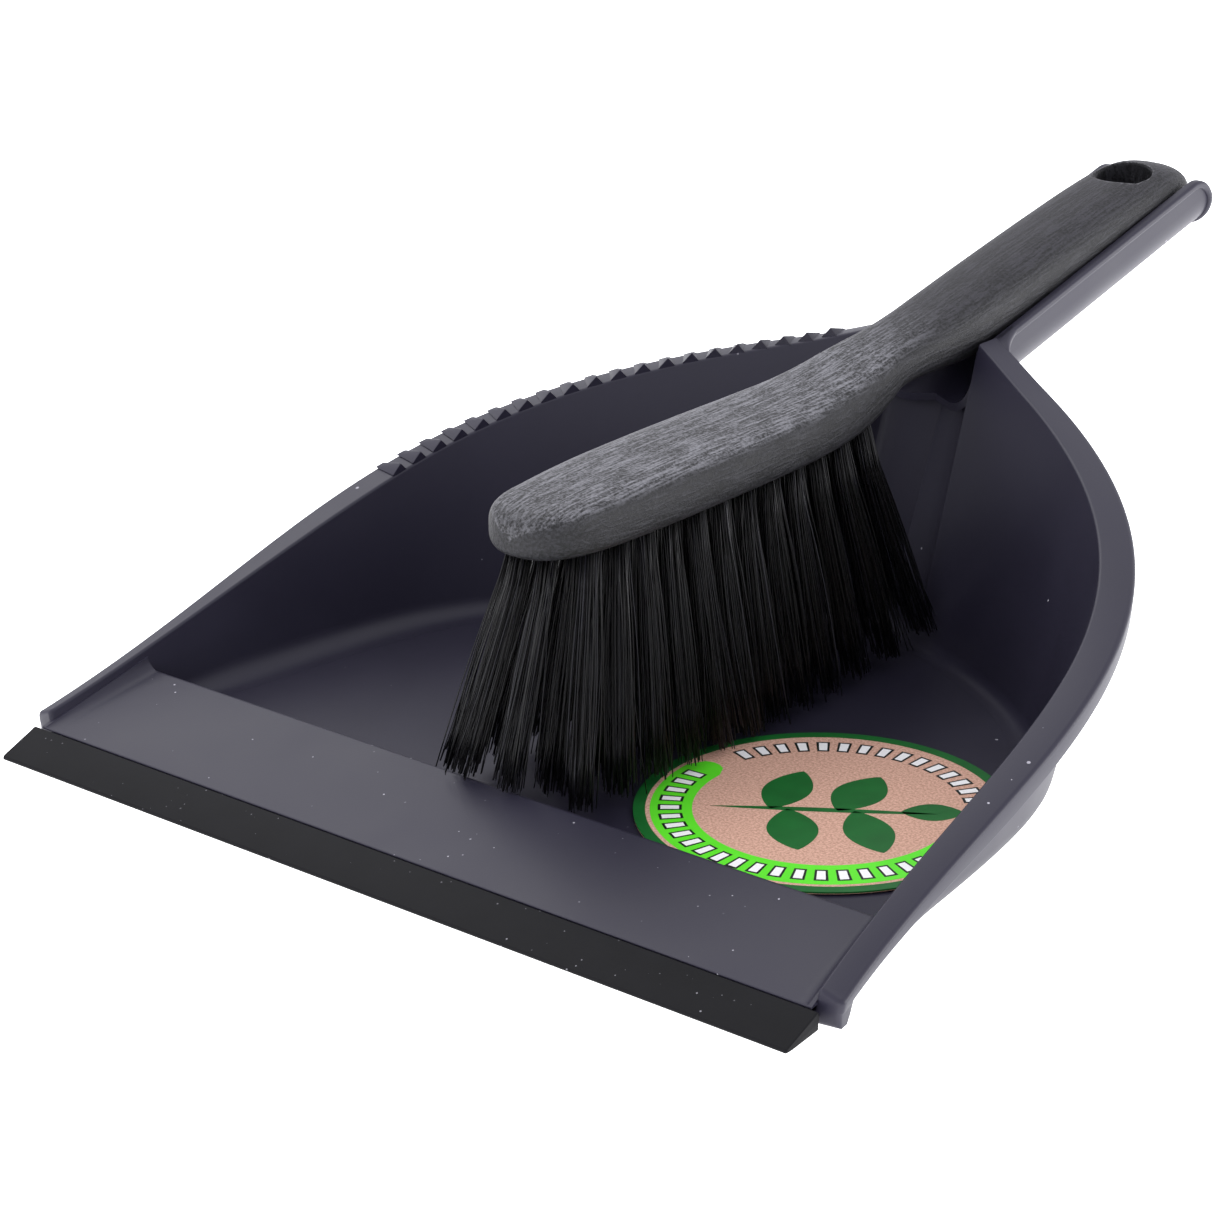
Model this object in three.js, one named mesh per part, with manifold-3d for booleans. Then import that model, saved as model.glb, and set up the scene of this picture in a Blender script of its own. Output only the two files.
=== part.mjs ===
// Dust pan with a soft front lip, and a hand brush that lies in the pan's handle.
// Millimetres, +Z up. While it is being built, y = 0 is the tip of the lip and +y runs to the
// handle's end; the whole group is then moved back so that its middle stands over the origin.
import * as THREE from 'three';
import { mergeVertices } from 'three/addons/utils/BufferGeometryUtils.js';
import Module from 'manifold-3d';

const wasm = await Module();
wasm.setup();

// ---------------------------------------------------------------- driving dimensions
const GAP = 0.3;                  // clearance between separate pieces
const TOTAL_LENGTH = 309.5;       // lip tip to the end of the pan's handle

// Tray: half of the rim's outer edge seen from above, as one cubic curve
const RIM_FRONT = new THREE.Vector2(113, 15);
const RIM_PULL_FRONT = new THREE.Vector2(99, 97);
const RIM_PULL_BACK = new THREE.Vector2(137, 156);
const RIM_BACK = new THREE.Vector2(0, 218);
const RIM_STATIONS = 30;          // cross-sections along each half of the rim
const WALL = 2.2;
const DRAFT_SIDE = 0.22;          // how far a side wall leans outward for each mm up
const DRAFT_BACK = 0.3;
const FILLET_SIDE = 6.5;          // wall to floor, inside
const FILLET_BACK = 4;
const FILLET_SHARE = 0.35;        // the fillet's most, as a share of the wall's height
const RIM_FRONT_HEIGHT = 6.6;     // top of the rim at its front end
const RIM_SLOPE = 0.292;          // rise of the rim for each mm back
const RIM_BEND = 0.000136;        // extra rise, per mm squared
const RIM_LIFT = 2.5;             // last rise where the rim runs into the handle
const SKIRT_FRONT = 3.4;          // depth of the rim's turned-down edge at the front
const SKIRT = 5.5;                // its depth along the sides and the back
const FLANGE_THICK = 2;
const SKIRT_THICK = 1.8;
const FLANGE_FRONT = 5.4;         // width of the rim's top at the front
const FLANGE_SIDE = 8;            // its width at the widest, half way back
const FLANGE_BACK = 7;
const FLANGE_TILT = 1.5;          // how much higher its inner edge is at the front

// Ramp behind the lip
const RAMP_FRONT_Y = 10.6;
const RAMP_FRONT_Z = 4.9;
const RIDGE_Y = 40;
const RIDGE_Z = 10.8;
const RAMP_SHEET = 2;
const RAMP_HALF_LENGTH = 115;     // before the side walls cut it to length
const LIP_HALF_LENGTH = 110;
const LIP_TONGUE_HALF_LENGTH = 101; // stops short of the side walls

// Comb teeth on the left rim
const TEETH = 20;
const TOOTH_PITCH = 6.17;
const FIRST_TOOTH = 106;          // distance along the rim's outer edge from its front end
const TOOTH_HEIGHT = 2.3;
const TOOTH_HALF_BASE = 2.4;
const TOOTH_OUTER_SHARE = 0.12;   // height left at the outer end, as a share of the inner end's

// Pan handle: a trough that slopes up to the back
const HANDLE_START = new THREE.Vector3(0, 205, 69.5);
const HANDLE_ANGLE = THREE.MathUtils.degToRad(13);
const TROUGH_HALF_WIDTH = 12.2;   // inside
const TROUGH_DEPTH = 13.2;        // inside
const TROUGH_CORNER = 7.2;        // inside
const TROUGH_WALL = 1.8;
const TROUGH_LIP = 0.8;           // how far the edge bead stands out of the wall
const BEAD_THICK = 2;
const HANDLE_END = (TOTAL_LENGTH - HANDLE_START.y
  - (TROUGH_DEPTH + TROUGH_WALL + TROUGH_LIP) * Math.sin(HANDLE_ANGLE)) / Math.cos(HANDLE_ANGLE);
const TROUGH_END_CORNER = 8;      // the trough's end, seen from the side

// Label
const LABEL_CENTRE = new THREE.Vector2(53.5, 88.5);
const LABEL_RADIUS = 41;
const LABEL_THICK = 0.6;
const LABEL_SIDES = 40;

// Brush block: half width, top and underside along its length
const BRUSH_STATIONS = [
  // y, half width, top, underside, squareness of the section
  [49.0, 3.5, 66.5, 60.5, 2.6],
  [50.2, 6.6, 68.0, 59.6, 3.0],
  [53.0, 9.6, 69.2, 59.0, 3.6],
  [58.0, 12.0, 70.0, 58.7, 4.2],
  [66.0, 13.7, 70.5, 58.6, 4.6],
  [80.0, 14.8, 71.0, 58.6, 4.8],
  [100.0, 15.3, 71.2, 58.6, 4.8],
  [120.0, 15.3, 71.2, 58.6, 4.8],
  [138.0, 14.6, 71.3, 58.6, 4.8],
  [152.0, 13.3, 72.0, 58.7, 4.4],
  [163.0, 11.9, 73.2, 59.6, 4.0],
  [171.0, 11.0, 74.4, 61.8, 3.6],
  [177.0, 10.5, 75.3, 64.3, 3.0],
  [186.0, 10.3, 76.6, 65.0, 2.6],
  [196.0, 10.5, 78.3, 64.6, 2.5],
  [207.0, 10.9, 80.4, 64.6, 2.6],
  [222.0, 11.3, 83.4, 66.2, 2.6],
  [240.0, 11.6, 86.8, 69.2, 2.6],
  [258.0, 11.8, 90.1, 72.2, 2.6],
  [274.0, 11.8, 92.9, 75.0, 2.6],
  [286.0, 11.7, 94.5, 77.2, 2.6],
  [296.0, 11.1, 94.8, 79.4, 2.6],
  [303.0, 9.5, 93.2, 81.2, 2.5],
  [307.0, 6.8, 90.8, 82.6, 2.4],
  [308.6, 3.4, 88.9, 84.0, 2.2],
];
const SECTION_SIDES = 24;
const HANG_HOLE_Y = 289;
const HANG_HOLE_RADIUS = 7;
const HANG_HOLE_Z = 88;           // middle of the cutter that makes it

// Tufts
const TUFT_RADIUS = 2.1;
const TUFT_HOLE_DEPTH = 7;
const TUFT_HOLE_RUNOUT = 6;       // how far the cutter for a hole starts below the block
const TUFT_TIP_Z = 4.8;           // clear of the tray floor and the label
const TUFT_RIDGE_CLEARANCE = 9;   // tips nearer the ridge than this stay above it
const TUFT_LENGTH = 54;           // free length under the block
const OUTER_ROW_X = 9.6;
const INNER_ROW_X = 3.3;
const TUFT_SIDES = 8;
const TUFT_LEAN_OUT = 0.85;       // sideways lean, as a share of the tuft's x
const TUFT_LEAN_ALONG = 18;       // lean forward at the nose and back at the heel
const TUFT_ROWS_MIDDLE = 112;     // y where the tufts hang straight down
const TUFT_ROWS_HALF = 54;
const TUFT_TIP_HALF = [3.5, 4.1]; // half sizes of the tips across and along
const TUFT_MIDDLE_HALF = [2.6, 3.2];
const OUTER_ROW = { count: 12, from: 64, to: 161 }; // y of the first and last tuft
const INNER_ROW = { count: 13, from: 58, to: 165 };

const OUTLINE = new THREE.CubicBezierCurve(RIM_FRONT, RIM_PULL_FRONT, RIM_PULL_BACK, RIM_BACK);

// ---------------------------------------------------------------- materials
const panPlastic = () => new THREE.MeshStandardMaterial({ color: 0x46464f, roughness: 0.5, metalness: 0 });
const lipRubber = () => new THREE.MeshStandardMaterial({ color: 0x1d1d20, roughness: 0.6, metalness: 0 });
const labelCard = () => new THREE.MeshStandardMaterial({ color: 0xb98d77, roughness: 0.8, metalness: 0 });
const blockPlastic = () => new THREE.MeshStandardMaterial({ color: 0x35353a, roughness: 0.7, metalness: 0 });
const filament = () => new THREE.MeshStandardMaterial({ color: 0x121214, roughness: 0.35, metalness: 0 });

// ---------------------------------------------------------------- solids
// A closed mesh as a solid for joining and cutting.
function solid(geometry) {
  const bare = geometry.clone();
  bare.deleteAttribute('normal');
  bare.deleteAttribute('uv');
  const merged = mergeVertices(bare, 1e-4);
  return new wasm.Manifold(new wasm.Mesh({
    numProp: 3,
    vertProperties: new Float32Array(merged.attributes.position.array),
    triVerts: new Uint32Array(merged.index.array),
  }));
}

function geometryOf(manifold) {
  const mesh = manifold.getMesh();
  const geometry = new THREE.BufferGeometry();
  geometry.setAttribute('position', new THREE.BufferAttribute(mesh.vertProperties, 3));
  geometry.setIndex(new THREE.BufferAttribute(mesh.triVerts, 1));
  return geometry;
}

// A closed body through equal-length closed rings of points, with a flat cap at each end.
// capOutline gives the 2D points that the caps are triangulated by.
function loft(rings, capOutline) {
  const count = rings[0].length;
  const positions = rings.flat().flatMap((p) => [p.x, p.y, p.z]);
  const index = [];
  for (let r = 0; r + 1 < rings.length; r += 1) {
    for (let i = 0; i < count; i += 1) {
      const a = r * count + i;
      const b = r * count + (i + 1) % count;
      index.push(a, b, b + count, a, b + count, a + count);
    }
  }
  const last = (rings.length - 1) * count;
  for (const [a, b, c] of capFaces(capOutline(0))) index.push(a, c, b);
  for (const [a, b, c] of capFaces(capOutline(rings.length - 1))) index.push(last + a, last + b, last + c);
  const geometry = new THREE.BufferGeometry();
  geometry.setAttribute('position', new THREE.Float32BufferAttribute(positions, 3));
  geometry.setIndex(index);
  return geometry;
}

// Triangles of a flat outline, all turning the same way as the outline does.
function capFaces(outline) {
  const anticlockwise = THREE.ShapeUtils.area(outline) > 0;
  const faces = THREE.ShapeUtils.triangulateShape(outline, []);
  return faces.map(([a, b, c]) => {
    const cross = (outline[b].x - outline[a].x) * (outline[c].y - outline[a].y)
      - (outline[b].y - outline[a].y) * (outline[c].x - outline[a].x);
    return (cross > 0) === anticlockwise ? [a, b, c] : [a, c, b];
  });
}

// A plate: an outline seen from above, between two heights.
function plate(outline, low, high) {
  const geometry = new THREE.ExtrudeGeometry(new THREE.Shape(outline), { depth: high - low, bevelEnabled: false });
  return solid(geometry.translate(0, 0, low));
}

// A bar along x with the given (y, z) outline.
function barAlongX(outline, halfLength) {
  const geometry = new THREE.ExtrudeGeometry(new THREE.Shape(outline), { depth: 2 * halfLength, bevelEnabled: false });
  geometry.translate(0, 0, -halfLength);
  geometry.applyMatrix4(new THREE.Matrix4().makeBasis(
    new THREE.Vector3(0, 1, 0), new THREE.Vector3(0, 0, 1), new THREE.Vector3(1, 0, 0)));
  return solid(geometry);
}

const points = (...pairs) => pairs.map(([x, y]) => new THREE.Vector2(x, y));

// ---------------------------------------------------------------- the rim's line
// One station of the right half at t from 0 (front) to 1 (middle of the back).
function rimStation(t) {
  const p = OUTLINE.getPoint(t);
  const tangent = OUTLINE.getTangent(t);
  const square = new THREE.Vector2(-tangent.y, tangent.x);
  // near the middle of the back the sections turn to face straight forward, as a mitre does
  const inward = square.clone().lerp(new THREE.Vector2(0, -1), THREE.MathUtils.smoothstep(t, 0.8, 1)).normalize();
  const stretch = 1 / inward.dot(square);
  const back = p.y - RIM_FRONT.y;
  const lift = THREE.MathUtils.smoothstep(p.y, 200, RIM_BACK.y) * RIM_LIFT;
  const height = RIM_FRONT_HEIGHT + RIM_SLOPE * back + RIM_BEND * back * back + lift;
  return {
    p, inward, stretch, height,
    width: flangeWidth(t),
    skirt: SKIRT_FRONT + (SKIRT - SKIRT_FRONT) * THREE.MathUtils.smoothstep(t, 0, 0.3),
    tilt: FLANGE_TILT * (1 - THREE.MathUtils.smoothstep(t, 0.1, 0.5)),
    fillet: Math.min(FILLET_SIDE + (FILLET_BACK - FILLET_SIDE) * THREE.MathUtils.smoothstep(t, 0.4, 0.75),
      FILLET_SHARE * (height - WALL)),
    draft: DRAFT_SIDE + (DRAFT_BACK - DRAFT_SIDE) * THREE.MathUtils.smoothstep(t, 0.4, 1),
  };
}

function flangeWidth(t) {
  const toSide = THREE.MathUtils.smoothstep(t, 0, 0.45);
  const toBack = THREE.MathUtils.smoothstep(t, 0.55, 1);
  return FLANGE_FRONT + (FLANGE_SIDE - FLANGE_FRONT) * toSide + (FLANGE_BACK - FLANGE_SIDE) * toBack;
}

// All stations from the right front, round the back, to the left front.
function rimStations() {
  const right = [];
  for (let i = 0; i <= RIM_STATIONS; i += 1) right.push(rimStation(i / RIM_STATIONS));
  const left = right.slice(0, -1).reverse().map((s) => ({
    ...s,
    p: new THREE.Vector2(-s.p.x, s.p.y),
    inward: new THREE.Vector2(-s.inward.x, s.inward.y),
  }));
  return [...right, ...left];
}

const at = (s, d, z) => new THREE.Vector3(
  s.p.x + s.inward.x * s.stretch * d, s.p.y + s.inward.y * s.stretch * d, z);

const filletTurn = (s) => Math.atan(s.draft);

// Distance in from the rim's outer edge, at height z, of the wall's inner face.
const wallInner = (s, z) => s.width + s.draft * (s.height + s.tilt - z);

// Distance in from the rim's outer edge of the line where the fillet ends on the flat floor.
function floorEdge(s) {
  const r = s.fillet;
  const turn = filletTurn(s);
  return wallInner(s, WALL + r - r * Math.sin(turn)) + r * Math.cos(turn);
}

// Section through rim, wall and floor edge, as (distance in, height) pairs.
function wallSection(s) {
  const top = s.height;
  const inner = top + s.tilt;
  const under = top - FLANGE_THICK;
  const skirtFoot = Math.max(0, top - s.skirt);
  const r = s.fillet;
  const turn = filletTurn(s);
  const centre = floorEdge(s);
  const section = [[0.3, skirtFoot], [0, top - 1], [0.7, top]];
  section.push([s.width - 0.5, inner], [s.width + 0.1, inner - 0.6]);
  for (let k = 0; k <= 3; k += 1) {
    const angle = turn + (Math.PI / 2 - turn) * k / 3;
    section.push([centre - r * Math.cos(angle), WALL + r - r * Math.sin(angle)]);
  }
  section.push([centre + 1.5, WALL], [centre + 1.5, 0]);
  for (let k = 3; k >= 0; k -= 1) {
    const angle = turn + (Math.PI / 2 - turn) * k / 3;
    section.push([centre - (r + WALL) * Math.cos(angle), WALL + r - (r + WALL) * Math.sin(angle)]);
  }
  section.push([wallInner(s, under) - WALL * 1.03, under]);
  section.push([SKIRT_THICK, under], [SKIRT_THICK + 0.1, skirtFoot]);
  return section;
}

function wallRing(stations) {
  const sections = stations.map((s) => wallSection(s).reverse());
  const rings = sections.map((section, i) => section.map(([d, z]) => at(stations[i], d, z)));
  return solid(loft(rings, (i) => sections[i].map(([d, z]) => new THREE.Vector2(d, z))));
}

// The space inside the walls, from the floor up past everything.
function traySpace(stations) {
  const ring = (inset, height) => stations.map((s) => at(s, inset(s), height(s)));
  const flat = (i) => (i ? rings[2] : rings[0]).map((p) => new THREE.Vector2(p.x, p.y));
  const rings = [
    ring((s) => wallInner(s, WALL + 1), () => WALL + 1),
    ring((s) => s.width + 0.05, (s) => s.height + s.tilt - 0.05),
    ring((s) => s.width + 0.05, () => 160),
  ];
  return solid(loft(rings, flat));
}

// ---------------------------------------------------------------- pan
function floorPlate(stations) {
  const outline = stations.filter((s) => s.p.y > RIDGE_Y).map((s) => {
    const q = at(s, floorEdge(s) + 0.7, 0);
    return new THREE.Vector2(q.x, q.y);
  });
  return plate(outline, 0, WALL);
}

function ramp(stations) {
  const slope = (RIDGE_Z - RAMP_FRONT_Z) / (RIDGE_Y - RAMP_FRONT_Y);
  const sheet = barAlongX(points(
    [RAMP_FRONT_Y, RAMP_FRONT_Z], [RAMP_FRONT_Y, 0.8], [17.5, 1.0], [19.5, RAMP_FRONT_Z + slope * 8.9 - RAMP_SHEET],
    [RIDGE_Y - 1.5, RIDGE_Z - RAMP_SHEET - 0.3], [RIDGE_Y + 0.6, RIDGE_Z - 2.8], [RIDGE_Y + 1.4, 0],
    [RIDGE_Y + 6, 0], [RIDGE_Y + 6, WALL], [RIDGE_Y + 3.4, WALL], [RIDGE_Y + 2, RIDGE_Z - 1.2], [RIDGE_Y, RIDGE_Z],
  ), RAMP_HALF_LENGTH);
  const slot = barAlongX(lipTongue(GAP), RAMP_HALF_LENGTH);
  const inside = stations.filter((s) => s.p.y < 75).map((s) => {
    const q = at(s, s.width - 0.9, 0);
    return new THREE.Vector2(q.x, q.y);
  });
  const first = inside[0];
  const last = inside[inside.length - 1];
  inside.push(new THREE.Vector2(last.x, RAMP_FRONT_Y - 1), new THREE.Vector2(first.x, RAMP_FRONT_Y - 1));
  return sheet.subtract(slot).intersect(plate(inside, -1, 20));
}

// The lip's tongue, grown by a clearance on every side that touches the ramp.
function lipTongue(grow) {
  return points(
    [RAMP_FRONT_Y - 3, 2.1 - grow], [RAMP_FRONT_Y + 5 + grow, 2.9 - grow],
    [RAMP_FRONT_Y + 5 + grow, 4.3 + grow], [RAMP_FRONT_Y - 3, 3.2 + grow],
  );
}

// Triangular ribs across the left rim, highest at their inner ends.
function combTeeth() {
  const samples = 400;
  const lengths = OUTLINE.getLengths(samples);
  const teeth = [];
  for (let i = 0; i < TEETH; i += 1) {
    const target = FIRST_TOOTH + i * TOOTH_PITCH;
    const t = lengths.findIndex((l) => l >= target) / samples;
    const s = rimStation(t);
    const along = new THREE.Vector2(-s.inward.y, s.inward.x).multiplyScalar(TOOTH_HALF_BASE);
    const ring = (d, height) => [[-1, -0.5], [1, -0.5], [0, height]].map(([side, up]) => {
      const q = at(s, d, s.height + s.tilt * d / s.width + up);
      return new THREE.Vector3(-(q.x + along.x * side), q.y + along.y * side, q.z);
    });
    const rings = [ring(s.width - 0.3, TOOTH_HEIGHT), ring(0.5, TOOTH_HEIGHT * TOOTH_OUTER_SHARE)];
    teeth.push(solid(loft(rings, () => points([0, 0], [1, 0], [0.5, 1]))));
  }
  return teeth;
}

// Turns a body drawn across the handle (x across, y up, z along) to its place.
function alongHandle(geometry) {
  const along = new THREE.Vector3(0, Math.cos(HANDLE_ANGLE), Math.sin(HANDLE_ANGLE));
  const up = new THREE.Vector3(0, -Math.sin(HANDLE_ANGLE), Math.cos(HANDLE_ANGLE));
  const across = new THREE.Vector3().crossVectors(up, along);
  const frame = new THREE.Matrix4().makeBasis(across, up, along).setPosition(HANDLE_START);
  return solid(geometry.applyMatrix4(frame));
}

// U section, open at the top, grown by a margin on every side but the top.
function troughBar(grow, rise, from, to) {
  const w = TROUGH_HALF_WIDTH + grow;
  const d = TROUGH_DEPTH + grow;
  const r = TROUGH_CORNER + grow;
  const shape = new THREE.Shape();
  shape.moveTo(-w, rise);
  shape.lineTo(-w, r - d);
  shape.absarc(r - w, r - d, r, Math.PI, 1.5 * Math.PI, false);
  shape.absarc(w - r, r - d, r, 1.5 * Math.PI, 2 * Math.PI, false);
  shape.lineTo(w, rise);
  const geometry = new THREE.ExtrudeGeometry(shape, { depth: to - from, bevelEnabled: false, curveSegments: 6 });
  return alongHandle(geometry.translate(0, 0, from));
}

// The trough's side view between its start and its end, with the upper end corner rounded,
// shrunk by an inset along the top and the end. Drawn as (along, up).
function troughSide(inset) {
  const end = HANDLE_END - inset;
  const top = -inset;
  const r = TROUGH_END_CORNER - inset;
  const shape = new THREE.Shape();
  shape.moveTo(-40, -40);
  shape.lineTo(end, -40);
  shape.lineTo(end, top - r);
  shape.absarc(end - r, top - r, r, 0, Math.PI / 2, false);
  shape.lineTo(-40, top);
  const geometry = new THREE.ExtrudeGeometry(shape, { depth: 80, bevelEnabled: false, curveSegments: 6 });
  geometry.translate(0, 0, -40);
  geometry.applyMatrix4(new THREE.Matrix4().makeBasis(
    new THREE.Vector3(0, 0, 1), new THREE.Vector3(0, 1, 0), new THREE.Vector3(-1, 0, 0)));
  return alongHandle(geometry);
}

// The flat web that rounds off the corner between the rim and the handle's edge, on both sides.
function cornerWebs() {
  const shape = new THREE.Shape();
  shape.moveTo(13, 0);
  shape.lineTo(24, -2);
  shape.quadraticCurveTo(16.5, 4, TROUGH_HALF_WIDTH + TROUGH_WALL + TROUGH_LIP, 13);
  shape.lineTo(13, 13);
  const web = (side) => {
    const geometry = new THREE.ExtrudeGeometry(shape, { depth: BEAD_THICK, bevelEnabled: false, curveSegments: 6 });
    geometry.applyMatrix4(new THREE.Matrix4().makeBasis(
      new THREE.Vector3(1, 0, 0), new THREE.Vector3(0, 0, 1), new THREE.Vector3(0, -1, 0)));
    const body = alongHandle(geometry);
    return side > 0 ? body : body.mirror([1, 0, 0]);
  };
  return [web(1), web(-1)];
}

function panBody() {
  const stations = rimStations();
  const hollow = troughBar(0, 60, -60, HANDLE_END + 20);
  const outer = troughBar(TROUGH_WALL, 40, -14, HANDLE_END + 20).intersect(troughSide(0));
  const edge = troughBar(TROUGH_WALL + TROUGH_LIP, 40, -2, HANDLE_END + 20)
    .intersect(troughSide(0)).subtract(troughSide(BEAD_THICK));
  let handle = outer.add(edge);
  for (const web of cornerWebs()) handle = handle.add(web);
  handle = handle.subtract(traySpace(stations));
  let body = wallRing(stations).add(floorPlate(stations)).add(ramp(stations)).add(handle).subtract(hollow);
  for (const tooth of combTeeth()) body = body.add(tooth);
  return geometryOf(body);
}

// ---------------------------------------------------------------- lip and label
function scraperLip() {
  const blade = barAlongX(points(
    [0, 0], [1.6, 0], [RAMP_FRONT_Y - GAP, 0.9], [RAMP_FRONT_Y - GAP, RAMP_FRONT_Z - 0.15], [0.3, 0.8], [0, 0.4],
  ), LIP_HALF_LENGTH);
  const tongue = barAlongX(lipTongue(0), LIP_TONGUE_HALF_LENGTH);
  return geometryOf(blade.add(tongue));
}

// How far the tray's fillet has risen above the flat floor at a place near the right wall.
function filletRise(x, y, stations) {
  const rise = (s) => {
    const inset = new THREE.Vector2(x, y).sub(s.p).dot(s.inward);
    const r = s.fillet;
    const past = THREE.MathUtils.clamp(floorEdge(s) - inset, 0, r);
    return r - Math.sqrt(r * r - past * past);
  };
  return Math.max(...stations.filter((s) => s.p.x > 0).map(rise));
}

// A thin round card that lies on the floor and turns up a little where it meets the fillet.
function floorLabel() {
  const stations = rimStations();
  const ring = (radius, lift) => {
    const circle = [];
    for (let i = 0; i < LABEL_SIDES; i += 1) {
      const angle = 2 * Math.PI * i / LABEL_SIDES;
      const x = LABEL_CENTRE.x + radius * Math.cos(angle);
      const y = LABEL_CENTRE.y + radius * Math.sin(angle);
      circle.push(new THREE.Vector3(x, y, WALL + GAP + lift + filletRise(x, y, stations)));
    }
    return circle;
  };
  const steps = [0.2, 0.8, 0.9, 1].map((share) => share * LABEL_RADIUS);
  const rings = [...steps.map((r) => ring(r, 0)), ...steps.reverse().map((r) => ring(r, LABEL_THICK))];
  return geometryOf(solid(loft(rings, (i) => rings[i].map((p) => new THREE.Vector2(p.x, p.y)))));
}

// ---------------------------------------------------------------- brush
// Point of a section that is rounder or squarer by its exponent.
function sectionPoint([y, halfWidth, top, under, squareness], angle) {
  const c = Math.cos(angle);
  const s = Math.sin(angle);
  const round = (v) => Math.sign(v) * Math.abs(v) ** (2 / squareness);
  const middle = (top + under) / 2;
  return new THREE.Vector3(halfWidth * round(c), y, middle + (top - under) / 2 * round(s));
}

// Underside of the block above a point, read between the stations.
function undersideAt(y) {
  const after = BRUSH_STATIONS.findIndex((station) => station[0] > y);
  const [y0, , , z0] = BRUSH_STATIONS[after - 1];
  const [y1, , , z1] = BRUSH_STATIONS[after];
  return z0 + (z1 - z0) * (y - y0) / (y1 - y0);
}

// Where each tuft comes out of the block and where its tip points.
function tuftPlaces() {
  const places = [];
  const row = (name, x, { count, from, to }) => {
    for (let i = 0; i < count; i += 1) {
      const y = from + (to - from) * i / (count - 1);
      places.push({ name: `tuft_${name}_${String(i + 1).padStart(2, '0')}`, x, y });
    }
  };
  row('right', OUTER_ROW_X, OUTER_ROW);
  row('left', -OUTER_ROW_X, OUTER_ROW);
  row('mid_right', INNER_ROW_X, INNER_ROW);
  row('mid_left', -INNER_ROW_X, INNER_ROW);
  return places.map((place) => {
    // the tufts lean out sideways, forward at the nose and back at the heel
    const along = (place.y - TUFT_ROWS_MIDDLE) / TUFT_ROWS_HALF;
    const leanX = place.x * TUFT_LEAN_OUT;
    const leanY = along * Math.abs(along) * TUFT_LEAN_ALONG;
    const root = new THREE.Vector3(place.x, place.y, undersideAt(place.y));
    const reach = new THREE.Vector3(leanX, leanY, 0);
    const floor = place.y + leanY < RIDGE_Y + TUFT_RIDGE_CLEARANCE ? RIDGE_Z + 1 : TUFT_TIP_Z;
    const drop = Math.min(Math.sqrt(TUFT_LENGTH ** 2 - reach.lengthSq()), root.z - floor);
    return { ...place, root, tip: root.clone().add(reach).setZ(root.z - drop) };
  });
}

// A ring of points round a tuft's centre, wide along y and narrow along x.
function tuftRing(centre, [halfX, halfY]) {
  const ring = [];
  for (let i = 0; i < TUFT_SIDES; i += 1) {
    const angle = 2 * Math.PI * i / TUFT_SIDES;
    ring.push(new THREE.Vector3(
      centre.x + halfX * Math.cos(angle), centre.y + halfY * Math.sin(angle), centre.z));
  }
  return ring;
}

// Straight in its hole, then spreading towards the tips.
function tuft({ root, tip }) {
  const seat = root.clone().setZ(root.z + TUFT_HOLE_DEPTH - GAP);
  const middle = root.clone().lerp(tip, 0.5);
  const rings = [
    tuftRing(tip, TUFT_TIP_HALF),
    tuftRing(middle, TUFT_MIDDLE_HALF),
    tuftRing(root.clone().setZ(root.z - 0.4), [TUFT_RADIUS, TUFT_RADIUS]),
    tuftRing(seat, [TUFT_RADIUS, TUFT_RADIUS]),
  ];
  return loft(rings, (i) => rings[i].map((p) => new THREE.Vector2(p.x, p.y)));
}

function brushBlock(places) {
  const rings = BRUSH_STATIONS.map((station) => {
    const ring = [];
    for (let i = 0; i < SECTION_SIDES; i += 1) ring.push(sectionPoint(station, -2 * Math.PI * i / SECTION_SIDES));
    return ring;
  });
  let block = solid(loft(rings, (i) => rings[i].map((p) => new THREE.Vector2(p.x, p.z))));
  for (const { root } of places) {
    const hole = new THREE.CylinderGeometry(TUFT_RADIUS + GAP, TUFT_RADIUS + GAP, TUFT_HOLE_DEPTH + TUFT_HOLE_RUNOUT,
      TUFT_SIDES);
    hole.rotateX(Math.PI / 2).rotateZ(-Math.PI / 2);
    hole.translate(root.x, root.y, root.z + (TUFT_HOLE_DEPTH - TUFT_HOLE_RUNOUT) / 2);
    block = block.subtract(solid(hole));
  }
  const hang = new THREE.CylinderGeometry(HANG_HOLE_RADIUS, HANG_HOLE_RADIUS, 60, 24);
  hang.rotateX(Math.PI / 2 + HANDLE_ANGLE);
  hang.translate(0, HANG_HOLE_Y, HANG_HOLE_Z);
  return geometryOf(block.subtract(solid(hang)));
}

// ---------------------------------------------------------------- assembly
function named(name, geometry, material) {
  const mesh = new THREE.Mesh(geometry, material);
  mesh.name = name;
  return mesh;
}

const set = new THREE.Group();
set.position.set(0, -TOTAL_LENGTH / 2, 0);

const pan = new THREE.Group();
pan.add(named('pan_body', panBody(), panPlastic()));
pan.add(named('scraper_lip', scraperLip(), lipRubber()));
pan.add(named('floor_label', floorLabel(), labelCard()));
set.add(pan);

const brush = new THREE.Group();
const places = tuftPlaces();
brush.add(named('brush_block', brushBlock(places), blockPlastic()));
for (const place of places) brush.add(named(place.name, tuft(place), filament()));
set.add(brush);

export default set;
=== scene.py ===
# %% [markdown]
# # Dust pan with a hand brush
# A moulded dust pan stands on a pale floor, and its hand brush lies in it with the handle in the
# pan's own handle. The frame that is loaded here already holds every part at its real place and
# size, in metres. This file gives each part a finer surface and a real finish.

import math

import bmesh
import bpy
import numpy as np
from mathutils import Matrix, Vector


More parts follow.
